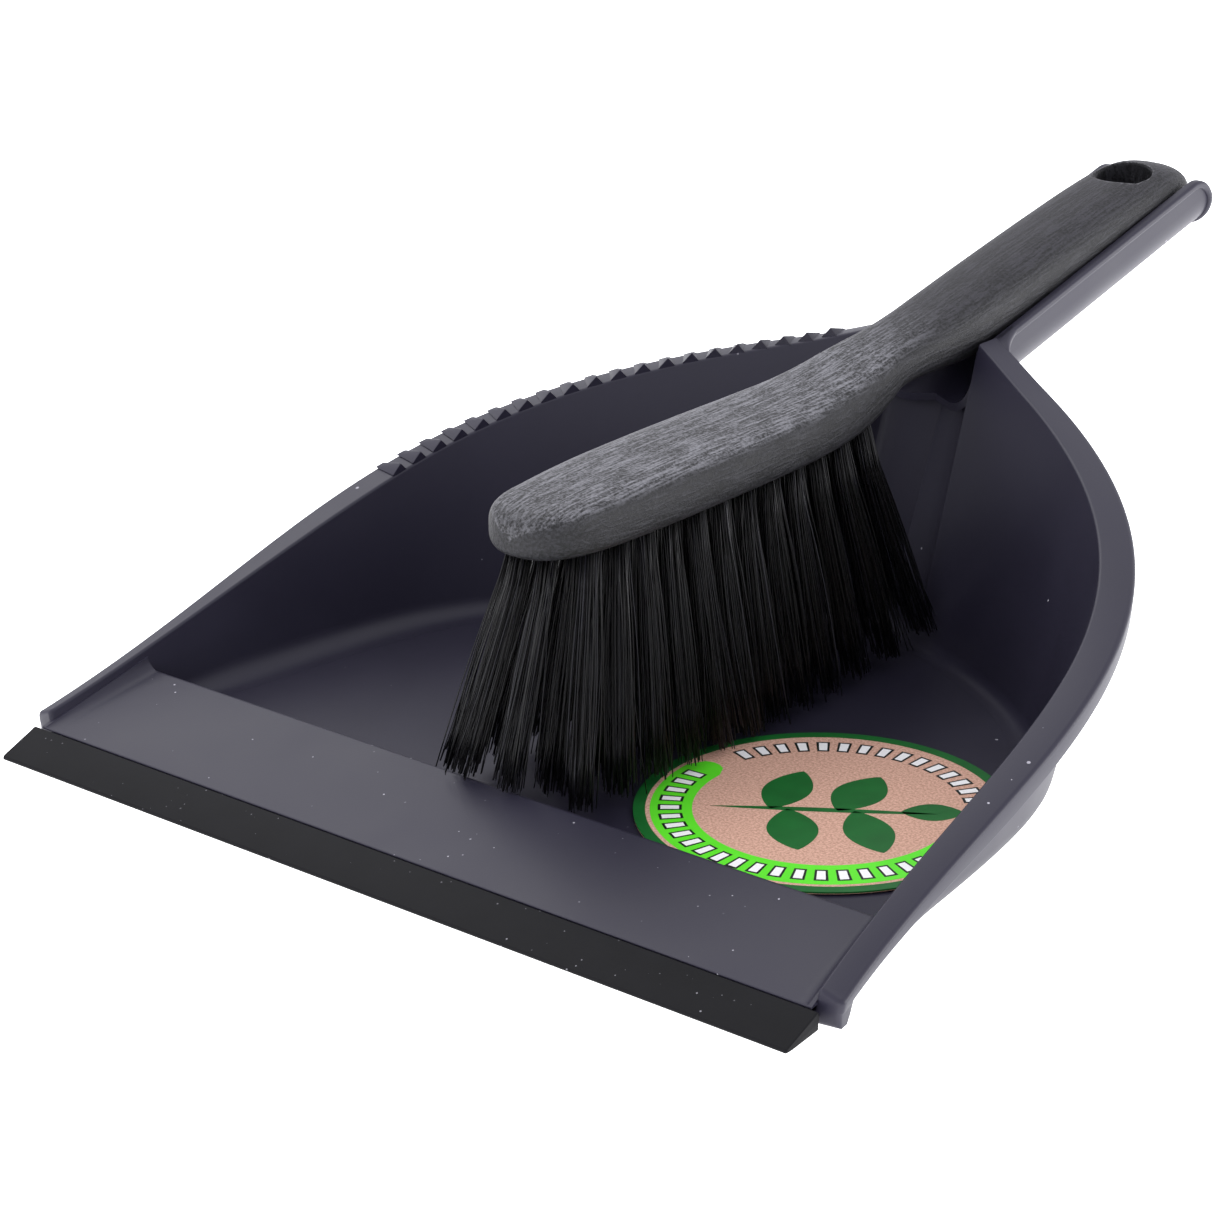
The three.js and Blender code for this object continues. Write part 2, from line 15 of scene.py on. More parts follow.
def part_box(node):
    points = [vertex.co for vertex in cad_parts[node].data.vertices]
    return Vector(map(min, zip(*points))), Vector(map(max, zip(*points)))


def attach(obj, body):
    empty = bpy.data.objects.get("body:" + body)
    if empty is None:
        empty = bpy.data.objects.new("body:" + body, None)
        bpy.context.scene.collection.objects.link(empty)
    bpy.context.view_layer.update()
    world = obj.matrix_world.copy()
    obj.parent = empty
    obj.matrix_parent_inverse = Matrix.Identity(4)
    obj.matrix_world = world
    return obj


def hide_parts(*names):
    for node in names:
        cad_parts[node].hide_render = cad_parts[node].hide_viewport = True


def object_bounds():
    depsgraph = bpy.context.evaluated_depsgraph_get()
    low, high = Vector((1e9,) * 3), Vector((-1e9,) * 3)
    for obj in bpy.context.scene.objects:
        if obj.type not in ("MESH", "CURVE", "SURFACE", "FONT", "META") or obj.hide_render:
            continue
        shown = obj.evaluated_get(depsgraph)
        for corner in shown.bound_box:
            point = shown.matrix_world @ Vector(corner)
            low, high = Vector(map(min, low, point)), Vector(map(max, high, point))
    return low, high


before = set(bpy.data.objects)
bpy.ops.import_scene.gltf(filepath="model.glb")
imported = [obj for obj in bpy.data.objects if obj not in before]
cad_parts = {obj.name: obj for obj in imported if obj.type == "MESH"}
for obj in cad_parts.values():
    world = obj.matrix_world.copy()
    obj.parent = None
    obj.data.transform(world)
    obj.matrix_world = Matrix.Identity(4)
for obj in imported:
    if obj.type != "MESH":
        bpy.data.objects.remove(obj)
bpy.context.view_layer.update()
MM = 0.001
FRONT_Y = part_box("scraper_lip")[0].y      # the tip of the lip, from which lengths are measured
print("nodes:", len(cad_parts), "front at y =", round(FRONT_Y, 5))

# %% [markdown]
# ## The camera
# A long lens from the front right and a little above. A camera looks along
# its own -Z, so its matrix is made of three directions: to the right, up, and backwards.

# %% Camera
LENS_MM = 107.59
SENSOR_MM = 36.0
AZIMUTH, ELEVATION, ROLL = (math.radians(a) for a in (39.69, 21.47, -0.41))
TARGET = Vector((0.12339, FRONT_Y - 0.06816, 0.11491))
DISTANCE = 0.58548

backwards = Vector((math.sin(AZIMUTH) * math.cos(ELEVATION),
                    -math.cos(AZIMUTH) * math.cos(ELEVATION), math.sin(ELEVATION)))
level = Vector((math.cos(AZIMUTH), math.sin(AZIMUTH), 0.0))
upright = backwards.cross(level)
to_right = math.cos(ROLL) * level + math.sin(ROLL) * upright
to_top = -math.sin(ROLL) * level + math.cos(ROLL) * upright
eye = TARGET + backwards * DISTANCE

camera_data = bpy.data.cameras.new("catalogue_camera")
camera_data.sensor_width = SENSOR_MM
camera_data.lens = LENS_MM
camera_data.clip_start = 0.01
camera = bpy.data.objects.new("catalogue_camera", camera_data)
camera.matrix_world = Matrix((
    (to_right.x, to_top.x, backwards.x, eye.x),
    (to_right.y, to_top.y, backwards.y, eye.y),
    (to_right.z, to_top.z, backwards.z, eye.z),
    (0, 0, 0, 1)))
bpy.context.scene.collection.objects.link(camera)
bpy.context.scene.camera = camera
print("camera at", [round(v, 4) for v in eye])

# %% [markdown]
# ## Making meshes from grids
# Every surface below is a grid of points worked out with numpy. A slab is two such grids, one
# for each face of a wall, closed round their edges, and a bar is a closed outline carried along
# a row of places. Lengths are millimetres from the lip's tip until a piece is made.

# %% Grid helpers
def smoothstep(x, low, high):
    """0 below low, 1 above high, and the curve 3t^2 - 2t^3 between them."""
    t = np.clip((np.asarray(x, float) - low) / (high - low), 0, 1)
    return t * t * (3 - 2 * t)


def grid_faces(rows, columns, close_rows=False, close_columns=False, flip=False):
    """Four-sided faces between neighbouring points of a grid numbered row by row."""
    r = np.arange(rows if close_rows else rows - 1)[:, None]
    c = np.arange(columns if close_columns else columns - 1)[None, :]
    r1, c1 = (r + 1) % rows, (c + 1) % columns
    corners = [r * columns + c, r * columns + c1, r1 * columns + c1, r1 * columns + c]
    faces = np.stack([np.broadcast_to(k, (r.size, c.size)) for k in corners], -1).reshape(-1, 4)
    return faces[:, ::-1] if flip else faces


def slab(upper, lower, close_columns=False):
    """Two grids of the same shape, joined round the edges into one closed wall."""
    rows, columns = upper.shape[:2]
    points = np.concatenate([upper.reshape(-1, 3), lower.reshape(-1, 3)])
    under = rows * columns
    faces = [grid_faces(rows, columns, close_columns=close_columns),
             grid_faces(rows, columns, close_columns=close_columns, flip=True) + under]
    index = np.arange(under).reshape(rows, columns)
    edges = [(index[0], close_columns), (index[-1][::-1], close_columns)]
    if not close_columns:
        edges += [(index[::-1, 0], False), (index[:, -1], False)]
    for edge, closed in edges:
        after = np.roll(edge, -1)
        side = np.stack([after, edge, edge + under, after + under], -1)
        faces.append(side if closed else side[:-1])
    return points, np.concatenate(faces).tolist()


def bar(rings):
    """Closed outlines, one to a row, joined to each other and capped at both ends."""
    rows, columns = rings.shape[:2]
    faces = grid_faces(rows, columns, close_columns=True).tolist()
    last = (rows - 1) * columns
    faces.append(list(range(columns))[::-1])
    faces.append([last + i for i in range(columns)])
    return rings.reshape(-1, 3), faces


def together(*bodies):
    """Several (points, faces) bodies as one."""
    points, faces, count = [], [], 0
    for body_points, body_faces in bodies:
        points.append(body_points)
        faces += [[i + count for i in face] for face in body_faces]
        count += len(body_points)
    return np.concatenate(points), faces


def rounded(corners, radii, steps=5):
    """A closed outline whose corners are replaced by arcs that touch both sides.

    At each corner the arc starts and ends at radius / tan(half the angle) from the corner.
    """
    corners = np.array(corners, float)
    outline = []
    for i, corner in enumerate(corners):
        to_last = corners[i - 1] - corner
        to_next = corners[(i + 1) % len(corners)] - corner
        a, b = to_last / np.linalg.norm(to_last), to_next / np.linalg.norm(to_next)
        half = math.acos(np.clip(a @ b, -1, 1)) / 2
        reach = min(radii[i] / math.tan(half), 0.45 * np.linalg.norm(to_last),
                    0.45 * np.linalg.norm(to_next))
        middle = (a + b) / np.linalg.norm(a + b)
        centre = corner + middle * reach / math.cos(half)
        start, end = corner + a * reach - centre, corner + b * reach - centre
        first = math.atan2(start[1], start[0])
        turn = (math.atan2(end[1], end[0]) - first + math.pi) % (2 * math.pi) - math.pi
        angles = first + turn * np.linspace(0, 1, steps)
        size = np.linalg.norm(start)
        outline.append(centre + size * np.stack([np.cos(angles), np.sin(angles)], -1))
    return np.concatenate(outline)


def make_piece(name, shape, body, material, nodes=(), crease=35, marks=None):
    """Put a body of points and faces into Blender as one piece of the object."""
    points, faces = shape
    mesh = bpy.data.meshes.new(name)
    placed = points * MM + (0, FRONT_Y, 0)
    mesh.from_pydata(placed.tolist(), [], faces)
    for key, values in (marks or {}).items():
        mesh.attributes.new(key, "FLOAT", "POINT").data.foreach_set("value", values)
    work = bmesh.new()
    work.from_mesh(mesh)
    bmesh.ops.remove_doubles(work, verts=work.verts, dist=0.002 * MM)
    bmesh.ops.recalc_face_normals(work, faces=work.faces)
    work.to_mesh(mesh)
    work.free()
    mesh.shade_smooth()
    mesh.set_sharp_from_angle(angle=math.radians(crease))
    mesh.materials.append(material)
    piece = bpy.data.objects.new(name, mesh)
    bpy.context.scene.collection.objects.link(piece)
    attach(piece, body)
    if nodes:
        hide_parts(*nodes)
    return piece


# %% [markdown]
# ## Finishes
# Colours are written as the screen shows them and turned to linear light by one function. One
# more function adds a node, so that a material reads as a list of steps.

# %% Colour and node helpers
def linear(hex_colour):
    """An sRGB hex colour as the linear red, green, blue and alpha of a shader socket."""
    srgb = np.array([int(hex_colour[i:i + 2], 16) / 255 for i in (0, 2, 4)])
    rgb = np.where(srgb <= 0.04045, srgb / 12.92, ((srgb + 0.055) / 1.055) ** 2.4)
    return (*rgb.tolist(), 1.0)


def add_node(tree, kind, settings=None, inputs=None):
    """Add a node with its settings; an input is a value or a (node, output) pair to link."""
    node = tree.nodes.new("ShaderNode" + kind)
    for key, value in (settings or {}).items():
        setattr(node, key, value)
    for key, value in (inputs or {}).items():
        if isinstance(value, tuple) and isinstance(value[0], bpy.types.Node):
            tree.links.new(value[0].outputs[value[1]], node.inputs[key])
        else:
            node.inputs[key].default_value = value
    return node


def new_finish(name, roughness, specular=0.35):
    """An empty material with one shader; gives the tree, the shader and the object's places."""
    material = bpy.data.materials.new(name)
    material.use_nodes = True
    tree = material.node_tree
    tree.nodes.clear()
    shader = add_node(tree, "BsdfPrincipled", inputs={
        "Roughness": roughness, "IOR": 1.49, "Specular IOR Level": specular})
    add_node(tree, "OutputMaterial", inputs={"Surface": (shader, "BSDF")})
    places = add_node(tree, "TexCoord")
    return material, tree, shader, (places, "Object")


def feature(size_mm):
    """The scale setting that gives a texture features of a real size."""
    return 1 / (size_mm * MM)


MIX = {"data_type": "RGBA"}
FACTOR, COLOUR_A, COLOUR_B, RESULT = 0, 6, 7, 2      # sockets of a colour Mix node


def scattered_dust(tree, places, spacing_mm, share, cluster_mm=14.0):
    """1 on small specks of dust, 0 between them.

    A Voronoi cell holds one speck where its random colour is over 1 - share; the speck is the
    part of the cell within 4 to 13 hundredths of its middle, and a slow noise gathers the specks.
    """
    cells = add_node(tree, "TexVoronoi", inputs={"Vector": places, "Scale": feature(spacing_mm)})
    lot = add_node(tree, "SeparateColor", inputs={"Color": (cells, "Color")})
    chosen = add_node(tree, "Math", {"operation": "GREATER_THAN"}, {0: (lot, 0), 1: 1 - share})
    size = add_node(tree, "MapRange", inputs={
        "Value": (lot, 1), "To Min": 0.04, "To Max": 0.13})
    near = add_node(tree, "Math", {"operation": "LESS_THAN"}, {
        0: (cells, "Distance"), 1: (size, 0)})
    speck = add_node(tree, "Math", {"operation": "MULTIPLY"}, {0: (chosen, 0), 1: (near, 0)})
    cloud = add_node(tree, "TexNoise", inputs={
        "Vector": places, "Scale": feature(cluster_mm), "Detail": 2.0})
    gather = add_node(tree, "MapRange", inputs={
        "Value": (cloud, 0), "From Min": 0.42, "From Max": 0.58})
    return add_node(tree, "Math", {"operation": "MULTIPLY"}, {0: (speck, 0), 1: (gather, 0)})


# %% [markdown]
# ## Moulded polypropylene
# The pan is injection-moulded recycled polypropylene, coloured through in a bluish anthracite.
# The mould's fine spark-eroded texture scatters light, so the gloss is a broad soft sheen. The
# texture is drawn a little coarser than it is, so that it shows. Dust sticks to it.

# %% Pan plastic
def moulded_polypropylene(name, dust_share, dust_spacing):
    """Anthracite polypropylene with a fine moulded texture and some dust."""
    material, tree, shader, places = new_finish(name, 0.5)
    grain = add_node(tree, "TexNoise", inputs={
        "Vector": places, "Scale": feature(0.45), "Detail": 2.0, "Roughness": 0.6})
    flow = add_node(tree, "TexNoise", inputs={
        "Vector": places, "Scale": feature(38), "Detail": 3.0, "Distortion": 0.4})
    tone = add_node(tree, "Mix", MIX, {
        FACTOR: (flow, 0), COLOUR_A: linear("1f1d2a"), COLOUR_B: linear("272534")})
    dust = scattered_dust(tree, places, dust_spacing, dust_share)
    dusty = add_node(tree, "Mix", MIX, {
        FACTOR: (dust, 0), COLOUR_A: (tone, RESULT), COLOUR_B: linear("a9a7b0")})
    gloss = add_node(tree, "MapRange", inputs={
        "Value": (flow, 0), "From Min": 0.3, "From Max": 0.7, "To Min": 0.4, "To Max": 0.48})
    relief = add_node(tree, "Bump", inputs={
        "Height": (grain, 0), "Strength": 0.25, "Distance": 0.05 * MM})
    tree.links.new(dusty.outputs[RESULT], shader.inputs["Base Color"])
    tree.links.new(gloss.outputs[0], shader.inputs["Roughness"])
    tree.links.new(relief.outputs[0], shader.inputs["Normal"])
    return material


pan_finish = moulded_polypropylene("moulded_polypropylene", 0.06, 3.2)
ramp_finish = moulded_polypropylene("dusty_polypropylene", 0.3, 2.2)


# %% [markdown]
# ## Soft lip
# The lip is a black thermoplastic elastomer with a matt, slightly tacky surface: it hardly
# shines, and light dust gathers on it, most of all towards its tip.

# %% Lip elastomer
def matt_elastomer():
    """Black elastomer; its specks thin out with distance from the tip."""
    material, tree, shader, places = new_finish("matt_elastomer", 0.62, 0.14)
    dust = scattered_dust(tree, places, 1.7, 0.5, cluster_mm=9.0)
    split = add_node(tree, "SeparateXYZ", inputs={"Vector": places})
    to_root = add_node(tree, "MapRange", inputs={
        "Value": (split, 1), "From Min": FRONT_Y + 1 * MM, "From Max": FRONT_Y + 11 * MM,
        "To Min": 1.0, "To Max": 0.35})
    held = add_node(tree, "Math", {"operation": "MULTIPLY"}, {0: (dust, 0), 1: (to_root, 0)})
    smear = add_node(tree, "TexNoise", inputs={
        "Vector": places, "Scale": feature(11), "Detail": 4.0})
    tone = add_node(tree, "Mix", MIX, {
        FACTOR: (smear, 0), COLOUR_A: linear("0a0a0c"), COLOUR_B: linear("131316")})
    dusty = add_node(tree, "Mix", MIX, {
        FACTOR: (held, 0), COLOUR_A: (tone, RESULT), COLOUR_B: linear("8f8e94")})
    grain = add_node(tree, "TexNoise", inputs={"Vector": places, "Scale": feature(0.5)})
    relief = add_node(tree, "Bump", inputs={
        "Height": (grain, 0), "Strength": 0.2, "Distance": 0.05 * MM})
    tree.links.new(dusty.outputs[RESULT], shader.inputs["Base Color"])
    tree.links.new(relief.outputs[0], shader.inputs["Normal"])
    return material


lip_finish = matt_elastomer()


# %% [markdown]
# ## Wood-grain polypropylene
# The brush block's mould is engraved with a wood grain: fine grooves run along it, crossed by a
# short speckle. Raised parts are drawn lighter than the grooves. On the head's top they carry a
# painted sheen that fades out towards the grip. The sides are painted darker as shade, and a
# painted highlight runs along the left edge of the head's top. The grooves are about 0.6 mm
# apart, drawn a little coarser than they are so that they show.

# %% Block plastic
def engraved_polypropylene():
    """Charcoal polypropylene; the grooves are a noise drawn out to 15 times its width.

    The block's own depth stands in for Z, so that the grooves follow the rising handle.
    """
    material, tree, shader, places = new_finish("engraved_polypropylene", 0.55)
    apart = add_node(tree, "SeparateXYZ", inputs={"Vector": places})
    depth = add_node(tree, "Attribute", {"attribute_name": "depth"})
    following = add_node(tree, "CombineXYZ", inputs={
        "X": (apart, "X"), "Y": (apart, "Y"), "Z": (depth, "Fac")})
    along = add_node(tree, "Mapping", {"vector_type": "TEXTURE"}, {
        "Vector": (following, 0), "Scale": (0.6 * MM, 9 * MM, 0.6 * MM)})
    grooves = add_node(tree, "TexNoise", inputs={
        "Vector": (along, 0), "Scale": 1.0, "Detail": 3.0, "Roughness": 0.6})
    short = add_node(tree, "Mapping", {"vector_type": "TEXTURE"}, {
        "Vector": places, "Scale": (0.6 * MM, 0.8 * MM, 0.6 * MM)})
    speckle = add_node(tree, "TexNoise", inputs={
        "Vector": (short, 0), "Scale": 1.0, "Detail": 2.0, "Roughness": 0.7})
    groove_light = add_node(tree, "MapRange", inputs={
        "Value": (grooves, 0), "From Min": 0.46, "From Max": 0.62})
    speckle_light = add_node(tree, "MapRange", inputs={
        "Value": (speckle, 0), "From Min": 0.44, "From Max": 0.6})
    coarse = add_node(tree, "Math", {"operation": "MULTIPLY"}, {0: (groove_light, 0), 1: 0.7})
    raised = add_node(tree, "Math", {"operation": "MULTIPLY_ADD", "use_clamp": True}, {
        0: (speckle_light, 0), 1: 0.5, 2: (coarse, 0)})
    grip = add_node(tree, "Attribute", {"attribute_name": "grip"})
    # painted sheen: the raised grain on the head's top is drawn light, fading to a darker tone on
    # the grip
    painted_top_sheen = add_node(tree, "Mix", MIX, {
        FACTOR: (grip, "Fac"), COLOUR_A: linear("77777c"), COLOUR_B: linear("302f35")})
    # painted shade: the sides, underside and nose take a darker tone than the top
    flank = add_node(tree, "Attribute", {"attribute_name": "flank"})
    lit_tone = add_node(tree, "Mix", MIX, {
        FACTOR: (flank, "Fac"), COLOUR_A: (painted_top_sheen, RESULT), COLOUR_B: linear("2a2a2e")})
    tone = add_node(tree, "Mix", MIX, {
        FACTOR: (raised, 0), COLOUR_A: linear("0f0f11"), COLOUR_B: (lit_tone, RESULT)})
    # painted highlight: a light band along the left edge of the head's top, mixed into the colour
    wear = add_node(tree, "Attribute", {"attribute_name": "wear"})
    highlight_share = add_node(tree, "Math", {"operation": "MULTIPLY"}, {0: (wear, "Fac"), 1: 0.55})
    highlighted = add_node(tree, "Mix", MIX, {
        FACTOR: (highlight_share, 0), COLOUR_A: (tone, RESULT), COLOUR_B: linear("75747c")})
    relief = add_node(tree, "Bump", inputs={
        "Height": (raised, 0), "Strength": 0.7, "Distance": 0.12 * MM})
    tree.links.new(highlighted.outputs[RESULT], shader.inputs["Base Color"])
    tree.links.new(relief.outputs[0], shader.inputs["Normal"])
    return material


block_finish = engraved_polypropylene()


# %% [markdown]
# ## Filament
# The bristles are drawn polymer filament, cut from long hanks. Drawing makes it smooth, so it is
# the glossiest thing here, and each filament takes the light a little differently.

# %% Filament finish
def drawn_filament():
    """Black filament whose tone differs from one filament to the next."""
    material, tree, shader, _ = new_finish("drawn_filament", 0.34, 0.4)
    tone = add_node(tree, "Attribute", {"attribute_name": "tone"})
    colour = add_node(tree, "Mix", MIX, {
        FACTOR: (tone, "Fac"), COLOUR_A: linear("020203"), COLOUR_B: linear("222228")})
    gloss = add_node(tree, "MapRange", inputs={
        "Value": (tone, "Fac"), "To Min": 0.42, "To Max": 0.28})
    tree.links.new(colour.outputs[RESULT], shader.inputs["Base Color"])
    tree.links.new(gloss.outputs[0], shader.inputs["Roughness"])
    return material


filament_finish = drawn_filament()


# %% [markdown]
# ## Label card and inks
# The label is kraft card, brown and flecked with darker and lighter fibres, printed in flat
# greens, black and white. The fibres are about half a millimetre long.

# %% Card and inks
def kraft_card():
    """Brown card with flecks of a darker and a lighter brown from one fine noise."""
    material, tree, shader, places = new_finish("kraft_card", 0.82, 0.3)
    fibres = add_node(tree, "TexNoise", inputs={
        "Vector": places, "Scale": feature(0.6), "Detail": 3.0, "Roughness": 0.7})
    fleck = add_node(tree, "MapRange", inputs={
        "Value": (fibres, 0), "From Min": 0.38, "From Max": 0.62})
    tone = add_node(tree, "Mix", MIX, {
        FACTOR: (fleck, 0), COLOUR_A: linear("b98f7a"), COLOUR_B: linear("e0b5a0")})
    tree.links.new(tone.outputs[RESULT], shader.inputs["Base Color"])
    return material


def printing_ink(name, dark, light):
    """A flat ink that lies a little unevenly on the card."""
    material, tree, shader, places = new_finish(name, 0.45)
    patch = add_node(tree, "TexNoise", inputs={
        "Vector": places, "Scale": feature(7), "Detail": 4.0})
    tone = add_node(tree, "Mix", MIX, {
        FACTOR: (patch, 0), COLOUR_A: linear(dark), COLOUR_B: linear(light)})
    tree.links.new(tone.outputs[RESULT], shader.inputs["Base Color"])
    return material


card_finish = kraft_card()
dark_green = printing_ink("dark_green_ink", "0a4f1c", "17702c")
bright_green = printing_ink("bright_green_ink", "56df22", "69f032")
white_ink = printing_ink("white_ink", "f4f4f2", "fdfdfd")
black_ink = printing_ink("black_ink", "0c130d", "161d17")
print("finishes:", len(bpy.data.materials))

# %% [markdown]
# ## The pan's rim line
# Seen from above, each half of the rim's outer edge is one cubic curve from the front corner to
# the middle of the back. Everything about the wall is measured inwards from it, square to the
# curve, except near the middle of the back, where the sections turn to face straight forward.

# %% Rim line
RIM_CURVE = np.array([(113, 15), (99, 97), (137, 156), (0, 218)], float)
WALL = 2.2
SKIRT_THICK = 1.8
TROUGH_HALF_WIDTH = 12.2
TROUGH_DEPTH = 13.2
TROUGH_CORNER = 7.2
HANDLE_START = np.array([0, 205, 69.5])
HANDLE_ANGLE = math.radians(13)


class RimLine:
    """Places along one half of the rim, at t from 0 at the front to 1 at the back."""

    def __init__(self, t, side):
        t = np.asarray(t, float)
        a, b, c, d = RIM_CURVE
        u = 1 - t[:, None]
        v = t[:, None]
        self.p = u**3 * a + 3 * u * u * v * b + 3 * u * v * v * c + v**3 * d
        tangent = 3 * u * u * (b - a) + 6 * u * v * (c - b) + 3 * v * v * (d - c)
        tangent /= np.linalg.norm(tangent, axis=1)[:, None]
        square = np.stack([-tangent[:, 1], tangent[:, 0]], -1)
        turn = smoothstep(t, 0.8, 1)[:, None]
        inward = square * (1 - turn) + np.array([0, -1]) * turn
        self.inward = inward / np.linalg.norm(inward, axis=1)[:, None]
        self.stretch = 1 / (self.inward * square).sum(1)
        self.tangent = tangent
        back = self.p[:, 1] - RIM_CURVE[0, 1]
        self.height = (6.6 + 0.292 * back + 0.000136 * back**2
                       + 2.5 * smoothstep(self.p[:, 1], 200, 218))
        self.skirt = 3.4 + 2.1 * smoothstep(t, 0, 0.3)
        self.width = 5.4 + 2.6 * smoothstep(t, 0, 0.45) - 1.0 * smoothstep(t, 0.55, 1)
        self.tilt = 1.5 * (1 - smoothstep(t, 0.1, 0.5))
        self.draft = 0.22 + 0.08 * smoothstep(t, 0.4, 1)
        self.fillet = np.minimum(6.5 - 2.5 * smoothstep(t, 0.4, 0.75), 0.35 * (self.height - WALL))
        self.turn = np.arctan(self.draft)
        self.side = side

    def wall_inner(self, z):
        """How far in the wall's inner face is at height z."""
        return self.width + self.draft * (self.height + self.tilt - z)

    def floor_edge(self):
        """How far in the fillet ends on the flat floor."""
        z = WALL + self.fillet * (1 - np.sin(self.turn))
        return self.wall_inner(z) + self.fillet * np.cos(self.turn)

    def at(self, inset, z):
        """Points at an inset and a height, for arrays of one row to a place."""
        reach = (self.inward * self.stretch[:, None])[:, None, :] * inset[:, :, None]
        xy = self.p[:, None, :] + reach
        return np.stack([xy[..., 0] * self.side, xy[..., 1], z], -1)


def trough_floor(x, y):
    """Height of the trough's inner surface over a place; far above it outside the trough."""
    past = np.clip(np.abs(x) - (TROUGH_HALF_WIDTH - TROUGH_CORNER), 0, TROUGH_CORNER)
    low = TROUGH_CORNER - TROUGH_DEPTH - np.sqrt(TROUGH_CORNER**2 - past**2)
    rise = (y - HANDLE_START[1]) * math.tan(HANDLE_ANGLE)
    z = HANDLE_START[2] + rise + low / math.cos(HANDLE_ANGLE)
    return np.where(np.abs(x) < TROUGH_HALF_WIDTH, z, 1e3)


# %% [markdown]
# ## Wall, rim and skirt
# One closed section is carried round the rim: the fillet at the floor, the leaning wall, the
# flat rim with rounded edges, the turned-down skirt, and the same line back underneath. Where
# the trough of the handle passes through, the section is cut off just below the trough.

# %% Wall surface
def arc_points(centre_d, centre_z, radius, start, end, steps):
    """A quarter round or less: centre + radius (cos a, sin a), for a from start to end."""
    share = np.linspace(0, 1, steps)
    angle = start[:, None] + (end - start)[:, None] * share
    return (centre_d[:, None] + radius[:, None] * np.cos(angle),
            centre_z[:, None] + radius[:, None] * np.sin(angle))


def wall_section(rim):
    """The section at each place, as an inset and a height for each of its points."""
    full = np.ones_like(rim.height)
    half_pi = full * math.pi / 2
    top, inner = rim.height, rim.height + rim.tilt
    edge, under = rim.floor_edge(), rim.height - 2
    foot = np.maximum(0, top - rim.skirt)
    r_edge, r_in = 1.15, 0.8
    parts = [((edge + 1.5)[:, None], full[:, None] * WALL)]
    parts.append(arc_points(edge, WALL + rim.fillet, rim.fillet, -half_pi, rim.turn - math.pi, 9))
    centre = rim.width + rim.draft * r_in * (1 - np.sin(rim.turn)) - r_in * np.cos(rim.turn)
    parts.append(arc_points(centre, inner - r_in, full * r_in, rim.turn, half_pi, 6))
    parts.append(arc_points(full * r_edge, top - r_edge, full * r_edge, half_pi, full * math.pi, 8))
    parts.append(arc_points(full * 0.8, foot + 0.5, full * 0.5, full * math.pi, half_pi * 3, 4))
    parts.append(arc_points(full * (SKIRT_THICK - 0.4), foot + 0.5, full * 0.5,
                            -half_pi, full * 0, 4))
    parts.append(arc_points(full * (SKIRT_THICK + 0.8), under - 0.8, full * 0.8,
                            full * math.pi, half_pi, 5))
    parts.append(((rim.wall_inner(under) - WALL * 1.03)[:, None], under[:, None]))
    parts.append(arc_points(edge, WALL + rim.fillet, rim.fillet + WALL,
                            rim.turn - math.pi, -half_pi, 8))
    parts.append(((edge + 1.5)[:, None], full[:, None] * 0.0))
    inset = np.concatenate([d for d, _ in parts], 1)
    height = np.concatenate([z for _, z in parts], 1)
    return inset, height


def half_wall(side):
    """Sections from the front corner to the middle of the back, with a rounded front end."""
    t = np.linspace(0, 1, 150)
    notch_x = RimLine(np.linspace(0.8, 1, 400), 1)
    edges = np.interp([-TROUGH_HALF_WIDTH - 0.02, 0.02 - TROUGH_HALF_WIDTH], -notch_x.p[:, 0],
                      np.linspace(0.8, 1, 400))
    t = np.sort(np.concatenate([t, edges, [0.004, 0.008, 0.014]]))
    rim = RimLine(t, side)
    inset, height = wall_section(rim)
    from_front = np.linalg.norm(rim.p - rim.p[0], axis=1)
    closed_channel = 1 - smoothstep(from_front, 2, 5)[:, None]
    under = np.arange(inset.shape[1])[None, :] >= 27
    height = np.where(under, height * (1 - closed_channel), height)
    points = rim.at(inset, height)
    points[..., 2] = np.minimum(points[..., 2], trough_floor(points[..., 0], points[..., 1]) - 0.3)
    forward = np.array([-rim.tangent[0, 0] * side, -rim.tangent[0, 1], 0])
    heart = points[0].mean(0) * [1, 1, 0] + [0, 0, 4.2]
    tips = []
    for angle in np.linspace(math.pi / 2, 0, 7)[:-1]:
        shrink = 1 - 0.32 * (1 - math.cos(angle))
        tips.append(heart + (points[0] - heart) * shrink + forward * 1.3 * math.sin(angle))
    return np.concatenate([np.array(tips), points])


right_wall, left_wall = half_wall(1), half_wall(-1)
wall_rings = np.concatenate([right_wall, left_wall[-2::-1]])
print("wall:", wall_rings.shape[0], "sections of", wall_rings.shape[1], "points")


# %% [markdown]
# ## Floor and ramp
# The floor is a flat plate between the fillets. In front of it a ramp rises from the lip to a
# ridge and drops to the floor behind, so that swept dust doesn't slide back out.

# %% Floor and ramp surfaces
RIDGE_Y = 40.0
RAMP_FRONT = (10.6, 4.9)
RIDGE = (RIDGE_Y, 10.8)
SIDE_FILLET = 3.0                 # rounds the ramp's top up to the side walls
SLIP = 0.02                       # keeps two flush faces of one plastic from flickering


def floor_slab():
    """Lines straight across between the two fillets, from the ridge to the back."""
    rim = RimLine(np.linspace(0.02, 1, 130), 1)
    edge = rim.floor_edge() - 0.3
    x, y = (rim.p + rim.inward * (rim.stretch * edge)[:, None]).T
    keep = y > RIDGE_Y + 1
    x, y = np.maximum(x[keep], 0), y[keep]
    across = np.linspace(-1, 1, 41)
    grid_x = x[:, None] * across
    grid_y = np.broadcast_to(y[:, None], grid_x.shape)
    upper = np.stack([grid_x, grid_y, np.full_like(grid_x, WALL - SLIP)], -1)
    lower = upper * [1, 1, 0] + [0, 0, SLIP]
    return slab(upper, lower)


def wall_reach(y, z, embed=1.0):
    """Half the distance between the side walls at a height, and a little into them."""
    rim = RimLine(np.linspace(0, 0.4, 300), 1)
    inset = rim.wall_inner(z) - embed
    x, at_y = (rim.p + rim.inward * inset[:, None]).T
    return np.interp(y, at_y, x)


